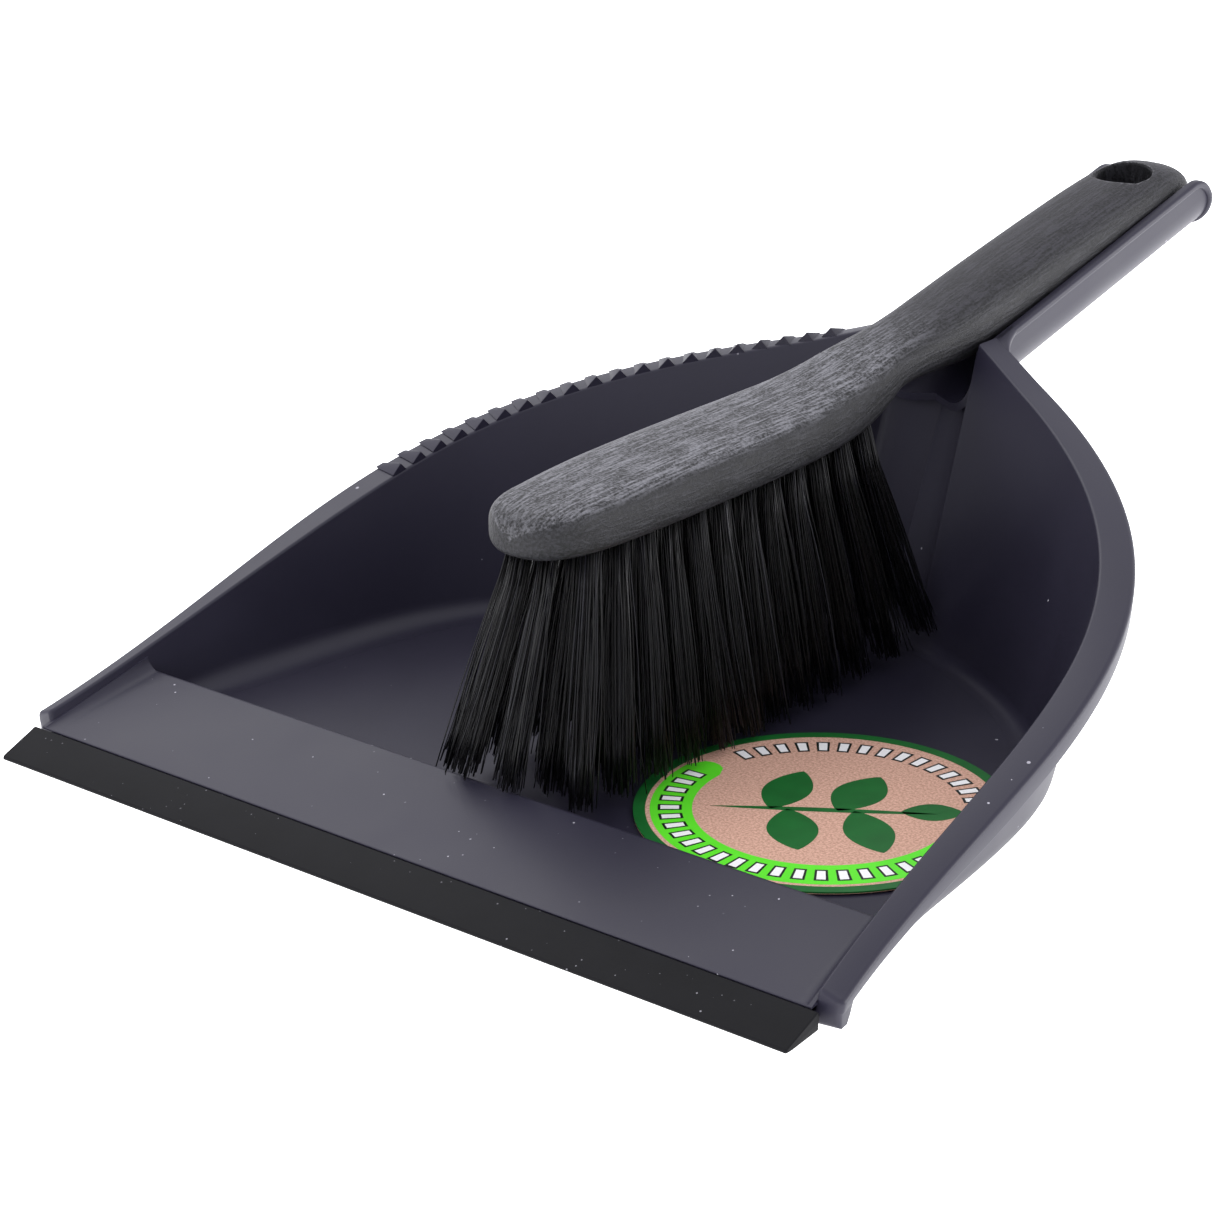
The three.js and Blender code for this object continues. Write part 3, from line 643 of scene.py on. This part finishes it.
def ramp_bar():
    """The ramp's (y, z) outline carried across from wall to wall."""
    slope = (RIDGE[1] - RAMP_FRONT[1]) / (RIDGE[0] - RAMP_FRONT[0])
    corners = [RAMP_FRONT, (10.6, 4.4), (15.9, 4.6), (15.9, 2.6), (10.6, 2.1), (10.6, 0.8),
               (17.5, 1.0), (19.5, RAMP_FRONT[1] + slope * 8.9 - 2), (38.5, RIDGE[1] - 2.3),
               (40.6, 8.0), (41.4, SLIP), (46, SLIP), (46, WALL - 2 * SLIP),
               (43.6, WALL - 2 * SLIP), (42, 9.6), RIDGE]
    radii = [0.3, 0.1, 0.1, 0.1, 0.1, 0.3, 0.6, 1, 1, 1, 0.3, 0.3, 0.01, 1.6, 1.2, 1.4]
    outline = rounded(corners, radii, 6)
    reach = np.array([wall_reach(y, z) for y, z in outline])
    half = np.concatenate([np.linspace(0, 0.93, 24), np.linspace(0.934, 1, 24)])
    across = np.concatenate([-half[:0:-1], half])
    x = across[:, None] * reach
    y = np.broadcast_to(outline[:, 0], x.shape)
    past = np.clip(SIDE_FILLET + 1 - (reach - np.abs(x)), 0, SIDE_FILLET)
    surface = RAMP_FRONT[1] - 0.1 + slope * (outline[:, 0] - RAMP_FRONT[0])
    on_top = (outline[:, 1] > surface) & (outline[:, 0] < 41)
    rise = (SIDE_FILLET - np.sqrt(SIDE_FILLET**2 - past**2)) * on_top * smoothstep(y, 10, 18)
    return bar(np.stack([x, y, outline[:, 1] + rise], -1))


# %% [markdown]
# ## The pan's handle
# The handle is a half pipe that slopes up to the back. A bead sticks out along its top edges,
# turns down through a round corner and runs on round the open end. Two small webs round off
# the corners between rim and bead.

# %% Handle surfaces
BEAD_OUT = 2.6                    # from the trough's inner face to the bead's outer face
BEAD_THICK = 2.0
END_CORNER = 8.0
TOTAL_LENGTH = (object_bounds()[1][1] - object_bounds()[0][1]) / MM
HANDLE_END = (TOTAL_LENGTH - HANDLE_START[1] - (TROUGH_DEPTH + BEAD_OUT) * math.sin(HANDLE_ANGLE)
              ) / math.cos(HANDLE_ANGLE)


def on_handle(x, along, up):
    """From across, along and above the handle's top plane to the pan's own directions."""
    c, s = math.cos(HANDLE_ANGLE), math.sin(HANDLE_ANGLE)
    return np.stack([x + 0 * along, HANDLE_START[1] + along * c - up * s,
                     HANDLE_START[2] + along * s + up * c], -1)


def trough_profile(grow, top, steps=14):
    """U outline from the right edge to the left: straight sides, round corners, flat bottom."""
    w, d = TROUGH_HALF_WIDTH + grow, TROUGH_DEPTH + grow
    r = TROUGH_CORNER + grow
    sink = END_CORNER - top
    drop = top - sink * (1 - np.cos(np.linspace(0, 0.47 * math.pi, 12)))
    drop = drop[drop > r - d + 0.2]
    angle = np.linspace(0, math.pi / 2, steps)
    right = np.concatenate([np.stack([np.full_like(drop, w), drop], -1),
                            np.stack([w - r + r * np.cos(angle), r - d - r * np.sin(angle)], -1)])
    middle = np.stack([np.linspace(w - r, r - w, 7)[1:-1], np.full(5, -d)], -1)
    return np.concatenate([right, middle, right[::-1] * [-1, 1]])


def trough_end(up, inset):
    """How far along the trough reaches at a height: its end corner is a quarter circle."""
    r = END_CORNER - inset
    over = np.clip(up + END_CORNER, 0, r)
    return HANDLE_END - inset - r + np.sqrt(r * r - over * over)


def back_wall_y(x, z):
    """Where the tray's back wall has its inner face near the middle."""
    t = np.linspace(0.85, 1, 200)
    rim = RimLine(t, 1)
    place = np.interp(-np.abs(x), -rim.p[:, 0], t)
    near = RimLine(place.ravel(), 1)
    return near.p[:, 1].reshape(x.shape) - near.wall_inner(z.ravel()).reshape(x.shape)


def trough_shell():
    """Inner and outer U surfaces from the tray's back wall to the bead at the end."""
    faces = []
    for grow, stand in ((0.0, -0.25), (1.8, 0.5)):
        profile = trough_profile(grow, -1.0)
        x, up = profile[:, 0], profile[:, 1]
        start = np.full_like(x, 2.0)
        for _ in range(12):
            place = on_handle(x, start, up)
            short = back_wall_y(place[:, 0], place[:, 2]) + stand - place[:, 1]
            start += short / math.cos(HANDLE_ANGLE)
        share = np.linspace(0, 1, 70)[:, None]
        along = start + (trough_end(up, 1.0) - start) * share
        faces.append(on_handle(np.broadcast_to(x, along.shape), along,
                               np.broadcast_to(up, along.shape)))
    return slab(faces[0], faces[1])


def trough_bead():
    """A rounded strip carried along the right edge, round the open end and back on the left."""
    profile = trough_profile(0.0, 0.0)
    x, up = profile[:, 0], profile[:, 1]
    edge = np.linspace(-1, HANDLE_END - END_CORNER, 60)[:-1]
    line = np.concatenate([
        np.stack([np.full_like(edge, TROUGH_HALF_WIDTH), edge, 0 * edge], -1),
        np.stack([x, trough_end(up, 0), up], -1),
        np.stack([np.full_like(edge, -TROUGH_HALF_WIDTH), edge, 0 * edge], -1)[::-1]])
    inner_x = TROUGH_HALF_WIDTH - TROUGH_CORNER
    out = np.stack([line[:, 0] - np.clip(line[:, 0], -inner_x, inner_x), 0 * line[:, 1],
                    np.minimum(line[:, 2] + TROUGH_DEPTH - TROUGH_CORNER, 0)], -1)
    out /= np.linalg.norm(out, axis=1)[:, None]
    direction = np.gradient(line, axis=0)
    direction /= np.linalg.norm(direction, axis=1)[:, None]
    over = np.cross(out, direction)
    over /= np.linalg.norm(over, axis=1)[:, None]
    section = rounded([(-0.04, -BEAD_THICK), (BEAD_OUT, -BEAD_THICK), (BEAD_OUT, 0), (-0.04, 0)],
                      [0.2, 0.7, 0.95, 0.5], 6)
    rings = (line[:, None] + out[:, None] * section[None, :, :1]
             + over[:, None] * section[None, :, 1:])
    return bar(on_handle(rings[..., 0], rings[..., 1], rings[..., 2]))


def corner_web(side):
    """A flat strip from the rim's back corner to the bead, with a hollow outer edge.

    The edge is the curve (1-t)^2 A + 2t(1-t) B + t^2 C through a corner B, and the strip's
    own section is rounded over that edge.
    """
    t = np.linspace(0, 1, 24)[:, None]
    edge = (1 - t) ** 2 * [24, -2] + 2 * t * (1 - t) * [16.5, 4] + t * t * [14.7, 13]
    inner = np.stack([np.full(24, 13.0), edge[:, 1]], -1)
    round_over = np.linspace(math.pi / 2, -math.pi / 2, 7)
    inset = np.concatenate([[0.0], 1 - np.cos(round_over), [0.0]])
    up = np.concatenate([[0.0], np.sin(round_over) - 1, [-2.0]])
    share = np.concatenate([[0.0], np.ones(7), [0.0]])
    place = inner[:, None] + (edge - inner)[:, None] * share[None, :, None]
    x = place[..., 0] - inset * share
    sunk = 1.4 * (1 - smoothstep(place[..., 1], -2, 6))
    rings = on_handle(x * side, place[..., 1], up - sunk)
    return bar(rings)


# %% [markdown]
# ## Comb teeth
# Twenty ribs stand across the left rim, to comb hair and fluff out of the brush. Each is a
# three-sided bar, highest over the tray, that fades out towards the rim's outer edge.

# %% Teeth
TEETH, TOOTH_PITCH, FIRST_TOOTH = 20, 6.17, 106.0
TOOTH_HALF_WIDTH, TOOTH_HEIGHT, TOOTH_ROOT = 2.4, 2.3, 0.6


def comb_teeth():
    """One rounded triangle, swept across the rim at each of the teeth's places."""
    t = np.linspace(0, 1, 2000)
    line = RimLine(t, 1).p
    length = np.concatenate([[0], np.cumsum(np.linalg.norm(np.diff(line, axis=0), axis=1))])
    rim = RimLine(np.interp(FIRST_TOOTH + TOOTH_PITCH * np.arange(TEETH), length, t), -1)
    triangle = rounded([(-TOOTH_HALF_WIDTH, -TOOTH_ROOT), (TOOTH_HALF_WIDTH, -TOOTH_ROOT),
                        (0, TOOTH_HEIGHT)], [0.1, 0.1, 0.3], 5)
    ends = np.array([(0.3, 0.9), (0.34, 0.97), (0.97, 0.13), (1.0, 0.1)])
    bodies = []
    for i in range(TEETH):
        forward = np.array([rim.inward[i, 1], rim.inward[i, 0]])
        rings = []
        for share, high in ends[::-1]:
            inset = (rim.width[i] - 0.2) * (1 - share) / 0.7 + 0.1
            middle = rim.p[i] + rim.inward[i] * inset
            base = rim.height[i] + rim.tilt[i] * inset / rim.width[i]
            x = -middle[0] + forward[0] * triangle[:, 0]
            y = middle[1] + forward[1] * triangle[:, 0]
            z = base + np.where(triangle[:, 1] > 0, triangle[:, 1] * high, triangle[:, 1])
            rings.append(np.stack([x, y, z], -1))
        bodies.append(bar(np.array(rings)))
    return together(*bodies)


pan_shell = make_piece("pan_shell", together(
    bar(wall_rings), floor_slab(), trough_shell(), trough_bead(), corner_web(1), corner_web(-1)),
    "pan", pan_finish, ["pan_body"], crease=40)
pan_ramp = make_piece("pan_ramp", ramp_bar(), "pan", ramp_finish, crease=50)
pan_teeth = make_piece("pan_teeth", comb_teeth(), "pan", pan_finish, crease=30)
print("pan:", [len(p.data.polygons) for p in (pan_shell, pan_ramp, pan_teeth)])


# %% [markdown]
# ## Lip
# The soft lip is one extruded strip: a blade that thins to its tip and a tongue held in the
# ramp's slot. Its edges are all a little rounded, as a moulded elastomer's are.

# %% Lip surface
LIP_HALF, TONGUE_HALF, BLADE_DEPTH = 110, 101, 10.3


def lip_bar():
    """The lip's (y, z) outline from one end to the other, drawn in a little at the ends."""
    blade = rounded([(0, 0), (1.6, 0), (BLADE_DEPTH, 0.9), (BLADE_DEPTH, 2.4), (15.5, 2.9),
                     (15.5, 4.3), (BLADE_DEPTH, 4.0), (BLADE_DEPTH, 4.75), (0.3, 0.8), (0, 0.4)],
                    [0.1, 0.3, 0.3, 0.1, 0.2, 0.2, 0.1, 0.35, 0.3, 0.15], 5)
    quarter = np.linspace(0, math.pi / 2, 5)
    half = np.concatenate([np.linspace(0, 109.4, 56), LIP_HALF - 0.4 * (1 - np.sin(quarter))])
    x = np.concatenate([-half[:0:-1], half])
    near_end = np.clip((LIP_HALF - np.abs(x)) / 0.4, 0, 1)
    size = 1 - 0.08 * (1 - np.sqrt(1 - (1 - near_end) ** 2))
    heart = np.array([7.0, 1.9])
    yz = heart + (blade[None] - heart) * size[:, None, None]
    tongue = (np.abs(x) < TONGUE_HALF)[:, None]
    yz[..., 0] = np.where(tongue, yz[..., 0], np.minimum(yz[..., 0], BLADE_DEPTH))
    rings = np.concatenate([np.broadcast_to(x[:, None, None], (len(x), len(blade), 1)), yz], -1)
    return bar(rings)


lip = make_piece("soft_lip", lip_bar(), "pan", lip_finish, ["scraper_lip"], crease=30)


# %% [markdown]
# ## Round label
# A thin card disc lies on the floor and turns up where it meets the wall's fillet. Its print is
# thin raised shapes: a dark outer ring, a bright band with rounded ends, two rows of white blocks
# with black outlines and a small sprig of leaves, all generic.

# %% Label surfaces
LABEL_X, LABEL_Y, LABEL_R = 53.5, 88.5, 41.0
CARD_TOP = WALL + 0.3 + 0.5


def card_lift(x, y):
    """Height of the fillet above the floor, r - sqrt(r^2 - past^2), under a place on the card."""
    rim = RimLine(np.linspace(0.1, 0.9, 160), 1)
    offset = np.stack([x, y], -1)[..., None, :] - rim.p
    inset = (offset * rim.inward).sum(-1)
    past = np.clip(rim.floor_edge() - inset, 0, rim.fillet)
    return (rim.fillet - np.sqrt(rim.fillet**2 - past**2)).max(-1)


def on_card(x, y, above):
    """Points at a height above the card's top face, for places measured from its middle."""
    gx, gy = x + LABEL_X, y + LABEL_Y
    return np.stack([gx, gy, CARD_TOP + above + card_lift(gx, gy)], -1)


def ring_patch(inner, outer, start, end, low, high, columns=150, round_ends=False):
    """Part of a flat ring between two angles; round ends follow a half circle."""
    share = np.linspace(0, 1, 6)[:, None]
    angle = np.radians(np.linspace(start, end, columns))[None, :]
    radius = inner + (outer - inner) * share + 0 * angle
    if round_ends:
        half = (outer - inner) / 2
        bow = np.sqrt(np.maximum(half**2 - (radius - inner - half) ** 2, 0)) / (inner + half)
        middle = (angle[0, 0] + angle[0, -1]) / 2
        half_turn = abs(angle[0, -1] - angle[0, 0]) / 2
        spread = (half_turn + bow) / half_turn
        angle = middle + (angle - middle) * spread
    x, y = radius * np.cos(angle), radius * np.sin(angle)
    return slab(on_card(x, y, high), on_card(x, y, low))


def leaf_patch(x0, y0, x1, y1, half_width, low, high):
    """A lens between two points: half width times sin(pi s)^0.8 along its length."""
    s = np.linspace(0, 1, 25)[None, :]
    across = np.linspace(1, -1, 9)[:, None]
    span = math.hypot(x1 - x0, y1 - y0)
    nx, ny = -(y1 - y0) / span, (x1 - x0) / span
    wide = across * half_width * (np.sin(math.pi * s) ** 0.8 + 0.02)
    x = x0 + (x1 - x0) * s + nx * wide
    y = y0 + (y1 - y0) * s + ny * wide
    return slab(on_card(x, y, high), on_card(x, y, low))


def card_disc():
    """A flat disc in rings, its middle closed to one point."""
    radius = np.concatenate([[0.001], np.linspace(2, LABEL_R, 36)])[:, None]
    angle = np.linspace(0, 2 * math.pi, 181)[None, :-1]
    x, y = radius * np.cos(angle), radius * np.sin(angle)
    return slab(on_card(x, y, 0.0), on_card(x, y, -0.45), close_columns=True)


card = make_piece("label_disc", card_disc(), "pan", card_finish, ["floor_label"])
border = make_piece("label_border", ring_patch(38.4, 41.02, 0, 360, -0.3, 0.03, columns=181),
                    "pan", dark_green)
band = make_piece("label_band", ring_patch(28.3, 37.4, 180, 368, 0.005, 0.035, round_ends=True),
                  "pan", bright_green)
dash_angles = list(np.arange(183, 350, 8.0)) + list(np.arange(28, 162, 8.0))
outlines = make_piece("label_outlines", together(*[
    ring_patch(30.5, 35.7, a, a + 5.0, 0.008, 0.045, columns=9) for a in dash_angles]),
    "pan", black_ink)
dashes = make_piece("label_dashes", together(*[
    ring_patch(31.1, 35.1, a + 0.9, a + 4.1, 0.03, 0.065, columns=9) for a in dash_angles]),
    "pan", white_ink)
sprig = make_piece("label_sprig", together(
    leaf_patch(-20, -14, 21, 13, 1.0, 0.005, 0.04), leaf_patch(-9, -7, -15, 13, 5.2, 0.005, 0.04),
    leaf_patch(-6, -5, 8, -20, 5.4, 0.005, 0.04), leaf_patch(3, 1, 0, 21, 5.6, 0.005, 0.04),
    leaf_patch(6, 3, 23, -10, 5.2, 0.005, 0.04), leaf_patch(14, 9, 25, 17, 4.2, 0.005, 0.04)),
    "pan", dark_green)


# %% [markdown]
# ## Brush block and handle
# Block and handle are one moulding. Its sections change from a squarish one over the bristles
# to a round one in the grip, so each is a superellipse: the higher its exponent, the squarer.
# The hanging hole is cut afterwards with a tool that flares at both ends, which rounds its rim.

# %% Block surface
# y, half width, top, underside, squareness
BLOCK_ROWS = np.array([
    (48.7, 0.2, 64.0, 62.6, 2.4), (49.0, 3.5, 66.5, 60.5, 2.6), (50.2, 6.6, 68.0, 59.6, 3.0),
    (53.0, 9.6, 69.2, 59.0, 3.6), (58.0, 12.0, 70.0, 58.7, 4.2), (66.0, 13.7, 70.5, 58.6, 4.6),
    (80.0, 14.8, 71.0, 58.6, 4.8), (100.0, 15.3, 71.2, 58.6, 4.8), (120.0, 15.3, 71.2, 58.6, 4.8),
    (138.0, 14.6, 71.3, 58.6, 4.8), (152.0, 13.3, 72.0, 58.7, 4.4), (163.0, 11.9, 73.2, 59.6, 4.0),
    (171.0, 11.0, 74.4, 61.8, 3.6), (177.0, 10.5, 75.3, 64.3, 3.0), (186.0, 10.3, 76.6, 65.0, 2.6),
    (196.0, 10.5, 78.3, 64.6, 2.5), (207.0, 10.9, 80.4, 64.6, 2.6), (222.0, 11.3, 83.4, 66.2, 2.6),
    (240.0, 11.6, 86.8, 69.2, 2.6), (258.0, 11.8, 90.1, 72.2, 2.6), (274.0, 11.8, 92.9, 75.0, 2.6),
    (286.0, 11.7, 94.5, 77.2, 2.6), (296.0, 11.1, 94.8, 79.4, 2.6), (303.0, 9.5, 93.2, 81.2, 2.5),
    (307.0, 6.8, 90.8, 82.6, 2.4), (308.6, 3.4, 88.9, 84.0, 2.2), (309.0, 0.2, 87.2, 85.6, 2.2),
])


def smooth_rows(rows, steps):
    """Catmull-Rom curve through the rows, by the distance between them in length and width."""
    gaps = np.linalg.norm(np.diff(rows[:, :3], axis=0), axis=1)
    place = np.concatenate([[0], np.cumsum(gaps ** 0.6)])
    slope = np.gradient(rows, place, axis=0)
    at = np.linspace(0, place[-1], steps)
    i = np.clip(np.searchsorted(place, at, side="right") - 1, 0, len(rows) - 2)
    h = (place[i + 1] - place[i])[:, None]
    s = ((at - place[i])[:, None]) / h
    return ((2 * s**3 - 3 * s**2 + 1) * rows[i] + (s**3 - 2 * s**2 + s) * h * slope[i]
            + (3 * s**2 - 2 * s**3) * rows[i + 1] + (s**3 - s**2) * h * slope[i + 1])


def block_rings():
    """Superellipse sections, x = w c |c|^(2/n - 1) and z alike; the head's top is drawn in."""
    rows = smooth_rows(BLOCK_ROWS, 260)
    angle = np.linspace(0, -2 * math.pi, 121)[None, :-1]
    y, half, top, under, square = (rows[:, k:k + 1] for k in range(5))
    c = np.sign(np.cos(angle)) * np.abs(np.cos(angle)) ** (2 / square)
    s = np.sign(np.sin(angle)) * np.abs(np.sin(angle)) ** (2 / square)
    head = smoothstep(y, 52, 70) * (1 - smoothstep(y, 150, 180))
    draw_in = 1 - 0.1 * head * smoothstep(s, -0.2, 1.0)
    crown = -0.35 * head * (c * c) * smoothstep(s, 0.6, 1)
    x = half * c * draw_in
    z = (top + under) / 2 + (top - under) / 2 * s + crown
    # painted highlight: a band near the edge of the head's top, on the left side only
    edge = np.exp(-((s - 0.9) / 0.16) ** 2) * np.exp(-((np.abs(c) - 0.93) / 0.13) ** 2)
    wear = edge * head * (c < 0)
    # painted shade: 1 on the sides, underside and nose, 0 on the top, which is drawn lighter
    flank = np.maximum(1 - smoothstep(s, 0.55, 0.95), 0.6 * smoothstep(y, 58, 49))
    depth = (top - under) / 2 * s * MM
    grip = smoothstep(y, 165, 205) * np.ones_like(angle)
    return np.stack([x, y + 0 * x, z], -1), dict(
        wear=np.clip(wear, 0, 1).ravel(), grip=grip.ravel(),
        flank=flank.ravel(), depth=depth.ravel())


rings, block_marks = block_rings()
block = make_piece("brush_handle", bar(rings), "brush", block_finish,
                   ["brush_block"], crease=50, marks=block_marks)

# %% [markdown]
# The cutter for the hanging hole is a turned shape: a cylinder whose radius grows on a quarter
# circle near the block's top and underside.

# %% Hanging hole
HOLE_R, HOLE_FLARE = 7.0, 1.7
HOLE_CENTRE = np.array([0, 289.0, 86.3])


def hole_cutter():
    """Radius R + f - sqrt(f^2 - rise^2) over the last f millimetres towards each face."""
    half = 8.1
    rise = np.linspace(0, HOLE_FLARE, 7)
    high = half - HOLE_FLARE + rise
    wide = HOLE_R + HOLE_FLARE - np.sqrt(np.maximum(HOLE_FLARE**2 - rise**2, 0))
    up = np.concatenate([[-20], -high[::-1], high, [20]])
    radius = np.concatenate([[wide[-1]], wide[::-1], wide, [wide[-1]]])
    angle = np.linspace(0, 2 * math.pi, 65)[None, :-1]
    x, along = radius[:, None] * np.cos(angle), radius[:, None] * np.sin(angle)
    c, s = math.cos(HANDLE_ANGLE), math.sin(HANDLE_ANGLE)
    y = HOLE_CENTRE[1] + along * c - up[:, None] * s
    z = HOLE_CENTRE[2] + along * s + up[:, None] * c
    return bar(np.stack([x, y, z], -1))


points, faces = hole_cutter()
tool_mesh = bpy.data.meshes.new("hole_tool")
tool_mesh.from_pydata((points * MM + (0, FRONT_Y, 0)).tolist(), [], faces)
tool = bpy.data.objects.new("hole_tool", tool_mesh)
bpy.context.scene.collection.objects.link(tool)
cut = block.modifiers.new("hang", "BOOLEAN")
cut.operation, cut.solver, cut.object = "DIFFERENCE", "EXACT", tool
bpy.context.view_layer.update()
done = bpy.data.meshes.new_from_object(block.evaluated_get(bpy.context.evaluated_depsgraph_get()))
block.modifiers.clear()
block.data = done
bpy.data.objects.remove(tool)
done.shade_smooth()
done.set_sharp_from_angle(angle=math.radians(40))
print("block:", len(done.polygons), "faces", done.attributes.keys())


# %% [markdown]
# ## Bristles
# Four rows of tufts hang from the block, each a bundle of about seventy filaments folded into
# its hole. They leave the hole close together and spread towards tips of uneven height. Each
# filament is a thin three-sided tube, with few faces because there are thousands of them.

# %% Tufts
FILAMENTS, FILAMENT_STEPS, SIDES = 74, 7, 3
HOLE_RADIUS = 2.0
FILAMENT_LENGTH = 54
HEAD_MIDDLE_Y = 112               # tufts in front of this lean forward, those behind it back
LEAN_OUT, LEAN_ALONG = 0.85, 18


def tuft_tips(x, y, under):
    """Where a tuft's middle ends: outwards by its row, and forward or back by its place."""
    along = (y - HEAD_MIDDLE_Y) / 54
    lean = np.array([x * LEAN_OUT, along * abs(along) * LEAN_ALONG])
    over_ridge = y + lean[1] < RIDGE_Y + 9
    low = RIDGE[1] + 1 if over_ridge else 4.8
    drop = min(math.sqrt(FILAMENT_LENGTH**2 - lean @ lean), under - low)
    return np.array([x + lean[0], y + lean[1], under - drop])


def tuft_body(x, y, under, rng):
    """Filaments from a sunflower pattern in the hole to a wider, jittered one at the tips."""
    n = np.arange(FILAMENTS)
    radius = HOLE_RADIUS * np.sqrt((n + 0.5) / FILAMENTS)
    turn = n * 2.39996 + rng.uniform(0, 6.28)
    seat = np.stack([radius * np.cos(turn), radius * np.sin(turn)], -1)
    tip = tuft_tips(x, y, under)
    stray = np.where(rng.random(FILAMENTS) < 0.1, 2.2, 0.55)[:, None]
    spread = seat * [1.6, 1.55] + rng.normal(0, 1, (FILAMENTS, 2)) * stray
    tip_z = tip[2] + 5.5 * rng.random(FILAMENTS) ** 2.2 - 0.6
    ends = np.column_stack([tip[0] + spread[:, 0], tip[1] + spread[:, 1], tip_z])
    starts = np.column_stack([x + seat[:, 0], y + seat[:, 1], np.full(FILAMENTS, under)])
    bow = rng.normal(0, 0.7, (FILAMENTS, 2))
    s = np.linspace(0, 1, FILAMENT_STEPS)[None, :, None]
    line = starts[:, None] + (ends - starts)[:, None] * s
    line[..., :2] += bow[:, None] * np.sin(math.pi * s) * 1.0
    line[:, 0, 2] += 3
    taper = np.linspace(1, 0.85, FILAMENT_STEPS)[:, None]
    thick = rng.uniform(0.15, 0.21, FILAMENTS)[:, None, None] * taper
    around = rng.uniform(0, 6.28, FILAMENTS)[:, None] + np.arange(SIDES) * 2 * math.pi / SIDES
    ring = np.stack([np.cos(around), np.sin(around), 0 * around], -1)
    points = line[:, :, None] + ring[:, None] * thick[..., None]
    side = grid_faces(FILAMENT_STEPS, SIDES, close_columns=True, flip=True)
    block_size = FILAMENT_STEPS * SIDES
    faces = (side[None] + (n * block_size)[:, None, None]).reshape(-1, 4).tolist()
    top = np.arange(SIDES)[None] + (n * block_size)[:, None]
    faces += top.tolist() + (top[:, ::-1] + block_size - SIDES).tolist()
    tone = np.repeat(rng.random(FILAMENTS) ** 5, block_size)
    return points.reshape(-1, 3), faces, tone


def underside(y):
    return np.interp(y, BLOCK_ROWS[:, 0], BLOCK_ROWS[:, 3])


ROWS = (("right", 9.6, 12, 64, 161), ("left", -9.6, 12, 64, 161),
        ("mid_right", 3.3, 13, 58, 165), ("mid_left", -3.3, 13, 58, 165))
seed = 0
total = 0
for row, x, count, first, last in ROWS:
    for i, y in enumerate(np.linspace(first, last, count)):
        seed += 1
        name = f"{row}_{i + 1:02d}"
        points, faces, tone = tuft_body(x, y, underside(y), np.random.default_rng(seed))
        tuft = make_piece(f"bristles_{name}", (points, faces), "brush", filament_finish,
                          [f"tuft_{name}"], crease=180, marks={"tone": tone})
        total += len(faces)
print("tufts:", seed, "faces:", total)

# %% [markdown]
# ## Floor, light and backdrop
# Everything around the object is nearly white, and the floor glows, so its dark edges take a
# soft light rim. Three soft lights, above, at the front left and at the back right, shade it.

# %% Studio
def stage_floor():
    mesh = bpy.data.meshes.new("studio_floor")
    size = 6.0
    mesh.from_pydata([(-size, -size, 0), (size, -size, 0), (size, size, 0), (-size, size, 0)], [],
                     [(0, 1, 2, 3)])
    material, _, shader, _ = new_finish("pale_floor", 0.9, 0.1)
    shader.inputs["Base Color"].default_value = (0.93, 0.93, 0.935, 1)
    shader.inputs["Emission Color"].default_value = (1, 1, 1, 1)
    shader.inputs["Emission Strength"].default_value = 1.5
    mesh.materials.append(material)
    floor = bpy.data.objects.new("studio_floor", mesh)
    floor.location.z = -0.0002
    bpy.context.scene.collection.objects.link(floor)


def soft_light(name, place, aim, size, power):
    data = bpy.data.lights.new(name, "AREA")
    data.shape, data.size, data.size_y = "RECTANGLE", size[0], size[1]
    data.energy = power
    light = bpy.data.objects.new(name, data)
    light.location = place
    light.rotation_euler = (Vector(aim) - Vector(place)).to_track_quat("-Z", "Y").to_euler()
    bpy.context.scene.collection.objects.link(light)


stage_floor()
world = bpy.data.worlds.new("studio")
world.use_nodes = True
world.node_tree.nodes["Background"].inputs["Color"].default_value = (0.94, 0.94, 1, 1)
world.node_tree.nodes["Background"].inputs["Strength"].default_value = 1.25
bpy.context.scene.world = world
bpy.context.scene.view_settings.view_transform = "Standard"
soft_light("overhead", (-0.6, 0.1, 0.8), (0, 0, 0), (0.7, 0.7), 2.6)
soft_light("front_left", (-0.35, -0.6, 0.45), (0, 0, 0.0), (0.4, 0.4), 0.9)
soft_light("right", (1.2, 0.9, 0.2), (0, 0.1, 0.05), (0.6, 0.5), 9)
